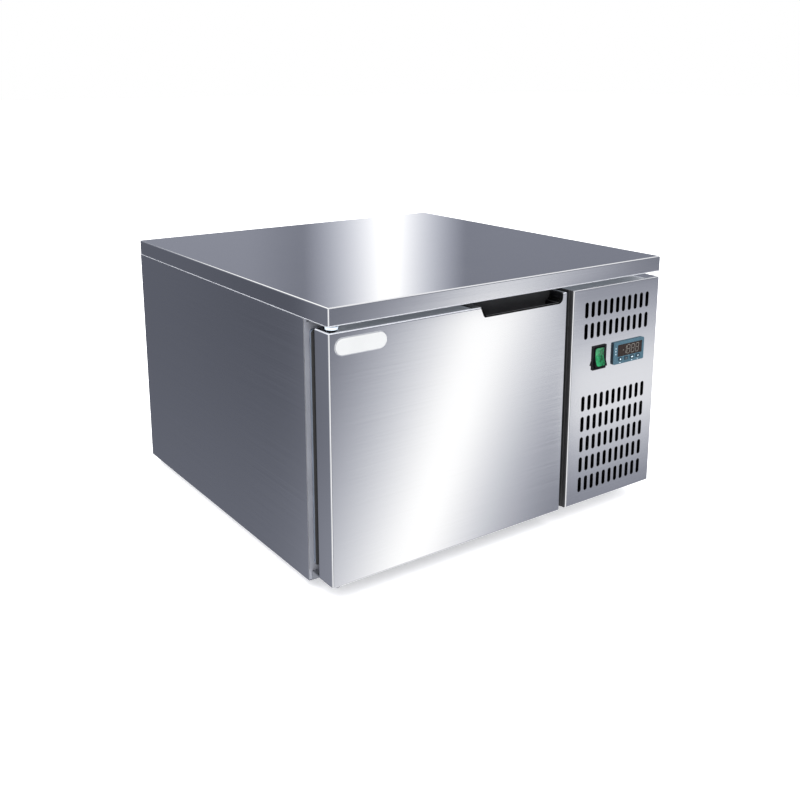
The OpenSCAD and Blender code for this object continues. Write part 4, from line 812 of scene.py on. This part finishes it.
class CHILLER_OT_cabinet(bpy.types.Operator):
    """The folded worktop, the side panels and the slotted back panel"""

    bl_idname = "chiller.cabinet"
    bl_label = "Cabinet sheets"

    def execute(self, context):
        size = context.scene.chiller_sizes
        lip = 14 * MM
        front_lip = PANEL[1].y - WORKTOP[0].y + lip
        worktop = folded_sheet("worktop_sheet", WORKTOP, (0, 0, -1), lip, front_lip)
        hand_over(worktop, "cabinet", "stainless", "drawn_steel", "worktop")
        edge_top = WORKTOP[0].z + size.bend
        # Painted light: the flat underside glows faintly
        two_tone(worktop, "lit_underside", lambda f: f.normal.z < -0.99)
        # Painted highlight on the worktop's lower fold
        two_tone(worktop, "ground_edge", lambda f: -0.99 < f.normal.z < -0.1 and f.center.z < edge_top)
        for side, slot in (("left_side", "stainless_side"), ("right_side", "stainless")):
            sheet = bevel(block(side + "_sheet", *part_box(side + "_panel")), 0.35 * MM, 2)
            hand_over(sheet, "cabinet", slot, "drawn_steel_side", side + "_panel")
        # Painted shade: the right side's inner face is blackened
        two_tone(sheet, "blackened_steel", lambda f: f.normal.x < -0.9)
        self.make_back(size)
        front = dressed("front_frame", "cabinet", "stainless", "blasted_frame", 0.4)
        split_across(front, PANEL[0].x)
        # Painted shade: the frame behind the control panel is blackened
        two_tone(front, "blackened_steel", lambda f: f.center.x > PANEL[0].x)
        for node in ("partition", "base_plate"):
            dressed(node, "cabinet", "galvanised", "galvanised_steel", 0.3, 1)
        return {"FINISHED"}

    def make_back(self, size):
        """The back panel with four rows of slots behind the machine and a hole for the gland."""
        back = block("back_sheet", *BACK)
        row_top, to_middle = 60 * MM, 7 * MM
        cut_slots(back, Vector((middle(PANEL).x - to_middle, BACK[1].y + 2 * MM,
                                BACK[1].z - row_top - 1.5 * size.row_pitch)), 4)
        cut(back, rod("gland_hole", 10.3, 6, (middle(GLAND).x, BACK[0].y - 2 * MM, middle(GLAND).z)))
        hand_over(bevel(back, 0.2 * MM, 2, 60), "cabinet", "stainless", "drawn_steel", "back_panel")


class CHILLER_OT_fixings(bpy.types.Operator):
    """Feet, case screws and cable gland"""

    bl_idname = "chiller.fixings"
    bl_label = "Feet, screws and gland"

    def execute(self, context):
        self.make_feet()
        self.make_screws()
        self.make_gland()
        return {"FINISHED"}

    def make_feet(self):
        """Rubber feet with two grooves round them and a sunk seat for the bolt."""
        low, high = FEET
        top, height = 18 * MM, high.z / MM
        foot = lathe("foot", [
            (7, 6), (7, 0.8), (7.8, 0), (14.4, 0), (15.4, 0.8), (16, 4), (15.4, 4.6), (16.2, 5.4),
            (16.8, 8.6), (16.2, 9.2), (17, 10), (17.6, 14.2), (17, height), (3.2, height), (3.2, 6),
            (7, 6)], steps=40)
        places = [(x, y, 0) for x in (low.x + top, high.x - top) for y in (low.y + top, high.y - top)]
        hand_over(repeat("rubber_feet", foot, places, 0, "foot_rubber"), "cabinet", "rubber", None, "feet")

    def make_screws(self):
        """Pan heads with a cross recess: eight round the back and two under the control panel."""
        edge, inset, setback = 14 * MM, 30 * MM, 12 * MM
        columns = [BACK[0].x + edge, -106 * MM, 94 * MM, BACK[1].x - edge]
        rows = [BACK[0].z + edge, BACK[1].z - edge]
        behind = [(x, BACK[1].y, z) for x in columns for z in rows]
        below = [(x, PANEL[1].y - setback, PANEL[0].z) for x in (PANEL[0].x + inset, PANEL[1].x - inset)]
        for name, places, turn, nodes in (("back_screws", behind, -RIGHT_ANGLE, ["case_screws"]),
                                          ("panel_screws", below, 2 * RIGHT_ANGLE, [])):
            head = lathe("screw_head", [(0, 0), (4, 0), (4, 0.5), (3.4, 1.4), (2.2, 1.9), (0, 2)], steps=24)
            for x, y in mm([(2.2, 0.45), (0.45, 2.2)]):
                cut(head, block("recess", Vector((-x, -y, 1.1 * MM)), Vector((x, y, 3 * MM))))
            screws = repeat(name, head, places, turn, "screw_steel")
            hand_over(screws, "cabinet", "fasteners", None, *nodes)

    def make_gland(self):
        """A hexagon nut and a ribbed dome on the gland's threaded body."""
        at, start, plate = middle(GLAND), GLAND[0].y, BACK[1].y
        bore, rear, end = 4.6, (plate - start) / MM, (GLAND[1].y - start) / MM
        gland = lathe("cable_gland", [
            (bore, 0), (10, 0), (10, rear - 6), (12, rear - 6), (12, rear - 1), (10, rear - 1), (10, rear),
            (11.4, rear), (11.6, rear + 5.4), (10.8, rear + 6), (11, rear + 7), (10.2, end - 5),
            (8.6, end - 1.6), (7, end), (bore, end), (bore, 0)], (at.x, start, at.z), "Y", 36)
        hand_over(gland, "cabinet", "black_plastic", "black_plastic", "mains_gland")
        corners = [(at.x + 12 * MM * math.cos(a), at.z + 12 * MM * math.sin(a))
                   for a in (math.radians(60 * k) for k in range(6))]
        nut = prism("gland_nut", corners, plate, plate + 5.6 * MM)
        cut(nut, rod("nut_bore", 11, 9, (at.x, plate - 1 * MM, at.z), 36))
        hand_over(bevel(nut, 0.4 * MM, 2), "cabinet", "black_plastic", "black_plastic")


class CHILLER_OT_panel(bpy.types.Operator):
    """The folded control panel with its vent slots"""

    bl_idname = "chiller.panel"
    bl_label = "Control panel"

    def execute(self, context):
        low, high = PANEL
        panel = folded_sheet("control_panel_sheet", PANEL, (0, 1, 0))
        for first_row, rows in ((35 * MM, 2), (189 * MM, 5)):
            height = high.z - first_row - (rows - 1) * context.scene.chiller_sizes.row_pitch / 2
            cut_slots(panel, Vector((low.x + 100 * MM, low.y + 3 * MM, height)), rows)
        for box, rim in ((SWITCH, Vector((1.3, 0, 1.3)) * MM), (CONTROLLER, Vector((2.3, 0, 3.3)) * MM)):
            cut(panel, block("cut_out", box[0] + rim, box[1] - rim))
        hand_over(bevel(panel, 0.25 * MM, 2, 60), "cabinet", "stainless", "drawn_steel", "control_panel")
        self.paint_shade_in_openings(panel)
        # Painted shade: the side strip's dark plastic stands for the shade in the gap
        dressed("panel_side_strip", "cabinet", "black_plastic", "side_strip_plastic", 0.35)
        return {"FINISHED"}

    def paint_shade_in_openings(self, panel):
        """Painted shade: the walls of the slots and cut-outs and the inside of the right flange are
        blackened, standing in for the dark behind them.
        """
        border = Vector((6, 0, 6)) * MM
        low, high = PANEL[0] + border, PANEL[1] - border
        two_tone(panel, "blackened_steel", lambda f: abs(f.normal.y) < 0.5 and f.center.y < low.y + 2 * MM
                 and low.x < f.center.x < high.x and low.z < f.center.z < high.z
                 or f.normal.x < -0.9 and f.center.x > high.x)


class CHILLER_OT_switch(bpy.types.Operator):
    """The rocker switch: its bezel, its rocker and the green lens in the rocker's front"""

    bl_idname = "chiller.switch"
    bl_label = "Switch"

    def execute(self, context):
        dressed("switch_housing", "cabinet", "black_plastic", "black_plastic", 0.5, 3)
        dressed("switch_rocker", "switch_rocker", "rocker_green", "black_plastic", 0.5, 3)
        hand_over(self.make_lens(), "switch_rocker", "rocker_green", "rocker_lens", angle=50)
        return {"FINISHED"}

    def make_lens(self):
        """A clear cap that follows the rocker's hollow front, with round corners."""
        centre = middle(ROCKER)
        half, radius = 14.6 * MM, 2.5 * MM
        left, right = centre.x - 11.2 * MM, centre.x + 8 * MM
        front, dip, flat = -9.1 * MM, 2.4 * MM, 3 * MM
        tilt = Matrix.Rotation(math.radians(-8), 3, "X")
        pivot = Vector((0, PANEL[0].y + 3 * MM, centre.z))
        bm = bmesh.new()
        rows = []
        steps, columns = 28, 10
        for i in range(steps + 1):
            z = -half + 2 * half * i / steps
            edge = max(0.0, abs(z) - (half - radius))
            inset = radius - math.sqrt(max(0.0, radius ** 2 - edge ** 2))
            depth = dip * (1 - min(1.0, max(0.0, abs(z) - flat) / (half - flat)))
            row = []
            for k in range(columns + 1):
                x = left + inset + (right - left - 2 * inset) * k / columns
                crown = 0.5 * MM * math.sin(math.pi * k / columns) ** 0.5
                row.append(bm.verts.new(tilt @ Vector((x, front + depth - crown, z)) + pivot))
            rows.append(row)
        for low, high in zip(rows, rows[1:]):
            for k in range(columns):
                bm.faces.new((low[k], low[k + 1], high[k + 1], high[k]))
        lens = piece_from(bm, "rocker_lens")
        if lens.data.polygons[0].normal.y > 0:
            lens.data.flip_normals()
        return thicken(lens, 1 * MM)


# The ends of a digit's seven segments, as parts of its width and height
SEGMENTS = {"a": ((0, 1), (1, 1)), "b": ((1, 0.5), (1, 1)), "c": ((1, 0), (1, 0.5)), "d": ((0, 0), (1, 0)),
            "e": ((0, 0), (0, 0.5)), "f": ((0, 0.5), (0, 1)), "g": ((0, 0.5), (1, 0.5))}


class CHILLER_OT_controller(bpy.types.Operator):
    """The controller: a bevelled face with its display, digits, lamps and four keys"""

    bl_idname = "chiller.controller"
    bl_label = "Controller"

    def execute(self, context):
        low, high = CONTROLLER
        face = low.y
        seam = face + 2.4 * MM
        outline = front_outline(CONTROLLER, 0, 2.5 * MM)
        body = settle(bevel(prism("controller_body", outline, face, seam), 0.9 * MM, 3))
        collar = prism("controller_collar", outline, seam - 1 * MM, PANEL[0].y)
        hand_over(collar, "cabinet", "controller_face", "controller_plastic")
        # Painted shade: the collar's left side is darker than its face
        two_tone(collar, "controller_side_plastic", lambda f: f.normal.x < -0.6)
        pockets = [(WINDOW, 0.0, 0.3, 1), *((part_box(key), -0.2, 1.3, 1.5) for key in KEYS)]
        for box, inset, radius, depth in pockets:
            pocket = front_outline(box, inset * MM, radius * MM)
            cut(body, prism("pocket", pocket, face - 2 * MM, face + depth * MM))
        hand_over(body, "cabinet", "controller_face", "controller_plastic", "controller_housing")
        rear = Vector((2.5, 0, 3.5)) * MM
        case = block("controller_case", Vector((low.x, PANEL[0].y, low.z)) + rear, high - rear)
        hand_over(bevel(case, 0.8 * MM, 2), "cabinet", "controller_face", "black_plastic")
        self.make_display(face)
        self.make_marks(face)
        for key in KEYS:
            dressed(key, key, "key_caps", "key_plastic", 0.4, 3)
        return {"FINISHED"}

    def make_display(self, face):
        """The dark window, with a minus sign, a 1 and three 8s in slanted bars that aren't lit."""
        glass = prism("display_glass", front_outline(WINDOW, 0, 0.3 * MM), face + 0.05 * MM, face + 1 * MM)
        hand_over(glass, "cabinet", "display", "display_window", "display_window")
        height, slant, stroke = 14 * MM, 0.1, 0.36 * MM
        bm = bmesh.new()
        for start, width, letters in ((11, 3.5, "g"), (12.5, 6.6, "bc"), (21.5, 6.6, "abcdefg"),
                                      (32, 6.6, "abcdefg"), (42.5, 6.6, "abcdefg")):
            foot = Vector((WINDOW[0].x + start * MM, middle(WINDOW).z - height / 2))
            for letter in letters:
                a, b = (foot + Vector((u * width * MM + v * height * slant, v * height))
                        for u, v in SEGMENTS[letter])
                along = (b - a).normalized() * stroke
                side = Vector((-along.y, along.x))
                a, b = a + along * 2, b - along * 2
                bar = [a - along, a - side, b - side, b + along, b + side, a + side]
                add_prism(bm, bar, face - 0.03 * MM, face + 0.1 * MM)
        hand_over(piece_from(bm, "display_digits"), "cabinet", "display", "display_segment")

    def make_marks(self, face):
        """Pale printed marks: three lamps beside the display, one mark on each key, and one under each key
        but the down key.
        """
        bm = bmesh.new()

        def disc(x, z, width, height, y):
            angles = [math.radians(20 * k) for k in range(18)]
            outline = [(x + width / 2 * MM * math.cos(a), z + height / 2 * MM * math.sin(a)) for a in angles]
            add_prism(bm, outline, y - 0.06 * MM, y + 0.05 * MM)

        for k in range(3):
            disc(CONTROLLER[0].x + 4.2 * MM, middle(WINDOW).z + (4.6 - 4.8 * k) * MM, 2.2, 2.2, face)
        for key in ("power_key", "up_key", "set_key"):
            at = middle(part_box(key))
            disc(at.x, at.z - 5.6 * MM, 3, 1.4, face)
        marks = piece_from(bm, "controller_marks")
        hand_over(marks, "cabinet", "controller_face", "printed_mark", angle=0)
        for key, width, height in zip(KEYS, (2.8, 3.4, 5.4, 2.6), (2.8, 1.2, 2.2, 2.6)):
            bm = bmesh.new()
            at = middle(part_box(key))
            disc(at.x, at.z, width, height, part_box(key)[0].y)
            finish = "display_segment" if key == "down_key" else "printed_mark"
            hand_over(piece_from(bm, key + "_mark"), key, "key_caps", finish, angle=0)


class CHILLER_OT_door(bpy.types.Operator):
    """The folded door skin with the cut-out for its grip"""

    bl_idname = "chiller.door"
    bl_label = "Door skin"

    def execute(self, context):
        skin = folded_sheet("door_sheet", DOOR, (0, 1, 0))
        cut(skin, prism("notch", self.grip_opening(), DOOR[0].y - 5 * MM, DOOR[0].y + 29 * MM))
        hand_over(skin, "door", "stainless", "drawn_steel", "door_skin")
        fold = DOOR[1].z - context.scene.chiller_sizes.bend
        # Painted highlight on the door's top fold
        two_tone(skin, "ground_edge", lambda f: 0.4 < f.normal.z < 0.99 and f.center.z > fold)
        dressed("door_pan", "door", "black_plastic", "black_plastic", 0.8, 3)
        self.make_grip()
        self.make_gasket()
        return {"FINISHED"}

    def grip_opening(self):
        """The grip's opening as (x, z) points: slanted on its left, round at its lower right."""
        top, bottom, rise = DOOR[1].z, DOOR[1].z - 16 * MM, 6 * MM
        left, right = GRIP[1].x - 166 * MM, GRIP[1].x - 3 * MM
        slant, corner, radius = 8 * MM, 2 * MM, 9 * MM
        outline = [(left, top + rise), (left, top), (left + slant - corner, bottom + corner),
                   (left + slant, bottom)]
        for a in (math.radians(-90 + 15 * k) for k in range(7)):
            outline.append((right - radius + radius * math.cos(a), bottom + radius + radius * math.sin(a)))
        return [*outline, (right, top + rise)]

    def make_grip(self):
        """The grip's tub, with a black rim round its textured hollow, and painted shade on the walls that
        face left.
        """
        grip = dressed("door_grip", "door", "black_plastic", "grip_plastic", 0.4, 3)
        rim = GRIP[0].y + 0.7 * MM
        two_tone(grip, "grip_rim_plastic", lambda f: f.center.y < rim or max(map(abs, f.normal)) < 0.98)
        # Painted shade: walls that face left get black plastic, darker than the grip
        two_tone(grip, "black_plastic", lambda f: f.normal.x < -0.98)

    def make_gasket(self):
        """A magnetic strip on folded bellows, all round the door."""
        front = GASKET[0].y
        # The bellows' section as (inset, depth), in millimetres
        section = [(3.2, 0.0), (2.2, 0.7), (3.6, 1.4), (2.4, 2.1), (0.9, 2.6), (0.0, 3.4), (0.0, 7.6),
                   (1.0, 8.7), (13.0, 8.7), (14.0, 7.6), (14.0, 3.4), (13.1, 2.6), (11.6, 2.1), (10.4, 1.4),
                   (11.8, 0.7), (10.8, 0.0)]
        bm = bmesh.new()
        loops = []
        for inset, depth in mm(section):
            outline = front_outline(GASKET, inset, max(5 * MM - inset, 0.5 * MM), 4)
            loops.append([bm.verts.new((x, front + depth, z)) for x, z in outline])
        for low, high in zip(loops, loops[1:] + loops[:1]):
            join_rings(bm, low, high)
        gasket = piece_from(bm, "gasket_bellows")
        hand_over(gasket, "door", "gasket", "gasket_rubber", "door_gasket", angle=50)
        # Painted shade: the bellows nearest the door get black rubber, darker than the magnet strip
        two_tone(gasket, "foot_rubber", lambda f: f.center.y < front + 3.2 * MM)


class CHILLER_OT_hinges(bpy.types.Operator):
    """Hinge plates, pin and nylon bushes"""

    bl_idname = "chiller.hinges"
    bl_label = "Hinges"

    def execute(self, context):
        for node, body, slot, finish in (("upper_hinge_plate", "cabinet", "hinge_steel", "zinc_plated_steel"),
                                         ("lower_hinge_plate", "cabinet", "hinge_steel", "zinc_plated_steel"),
                                         ("upper_hinge_pin", "door", "hinge_steel", "blackened_steel"),
                                         ("upper_hinge_bush", "cabinet", "nylon", "nylon"),
                                         ("lower_hinge_bush", "door", "nylon", "nylon")):
            dressed(node, body, slot, finish, 0.25)
        return {"FINISHED"}


class CHILLER_OT_chamber(bpy.types.Operator):
    """The chamber's racks, evaporator cover and fan guard"""

    bl_idname = "chiller.chamber"
    bl_label = "Chamber"

    def execute(self, context):
        for node in ("tray_rack_left", "tray_rack_right", "evaporator_cover", "drip_tray"):
            dressed(node, "cabinet", "stainless_inner", "inner_steel", 0.25, 1)
        self.make_guard()
        return {"FINISHED"}

    def make_guard(self):
        """Five rings of wire on four spokes round a hub."""
        low, high = GUARD
        wire, spoke, width = 3 * MM, 1.1 * MM, 2 * MM
        at, depth, outer = middle(GUARD), low.y + wire / 2, (high.x - low.x - wire) / 2
        rings = apply_tree(new_object("guard_rings", bpy.data.meshes.new("guard_rings")), wire_rings(),
                           {"Middle": (at.x, depth, at.z), "Outer radius": outer, "Rings": 5, "Wire": wire,
                            "Material": FINISH["plated_wire"]})
        hand_over(rings, "cabinet", "wire", None, "fan_guard")
        bm = bmesh.new()
        for a in (math.radians(45 + 90 * quarter) for quarter in range(4)):
            out, side = Vector((math.cos(a), math.sin(a))), Vector((-math.sin(a), math.cos(a))) * width
            inner, end = Vector((at.x, at.z)) + out * 20 * MM, Vector((at.x, at.z)) + out * outer
            add_prism(bm, [inner - side, end - side, end + side, inner + side], depth - spoke, depth + spoke)
        hub = [(0, 0), (21, 0), (22, 0.6), (22, 1.8), (21, 2.2), (0, 2.2)]
        add_lathe(bm, hub, (at.x, low.y + 0.4 * MM, at.z), "Y", 40)
        hand_over(piece_from(bm, "guard_spokes"), "cabinet", "wire", "plated_wire")


class CHILLER_OT_badge(bpy.types.Operator):
    """The bare badge: an enamelled plate in a thin metal rim"""

    bl_idname = "chiller.badge"
    bl_label = "Badge"

    def execute(self, context):
        low, high = BADGE
        radius = (high.z - low.z) / 2 - 0.1 * MM
        rim = prism("badge_rim", front_outline(BADGE, 0, radius, 12), low.y, high.y)
        hand_over(bevel(rim, 0.6 * MM, 3), "door", "badge", "badge_rim")
        inset = 1.2 * MM
        outline = front_outline(BADGE, inset, radius - inset, 12)
        face = prism("badge_face", outline, low.y - 0.2 * MM, low.y + 0.5 * MM)
        hand_over(bevel(face, 0.3 * MM, 2), "door", "badge", "badge_enamel", "badge_plate")
        return {"FINISHED"}


OPERATORS = [CHILLER_OT_stage, CHILLER_OT_cabinet, CHILLER_OT_fixings, CHILLER_OT_panel, CHILLER_OT_switch,
             CHILLER_OT_controller, CHILLER_OT_door, CHILLER_OT_hinges, CHILLER_OT_chamber, CHILLER_OT_badge]


class CHILLER_PT_panel(bpy.types.Panel):
    """Lists the chiller's pieces in the sidebar"""

    bl_idname = "CHILLER_PT_panel"
    bl_label = "Blast chiller"
    bl_space_type = "VIEW_3D"
    bl_region_type = "UI"
    bl_category = "Blast chiller"

    def draw(self, context):
        for operator in OPERATORS:
            self.layout.operator(operator.bl_idname)


CLASSES = [ChillerSizes, ChillerFinish, *OPERATORS, CHILLER_PT_panel]


def register():
    for made in CLASSES:
        bpy.utils.register_class(made)
    bpy.types.Scene.chiller_sizes = bpy.props.PointerProperty(type=ChillerSizes)
    bpy.types.Scene.chiller_finish = bpy.props.PointerProperty(type=ChillerFinish)


def unregister():
    del bpy.types.Scene.chiller_sizes
    del bpy.types.Scene.chiller_finish
    for made in reversed(CLASSES):
        bpy.utils.unregister_class(made)


def main():
    register()
    make_finishes()
    dress_nodes()
    for operator in OPERATORS:
        getattr(bpy.ops.chiller, operator.bl_idname.split(".")[1])()


if __name__ == "__main__":
    main()
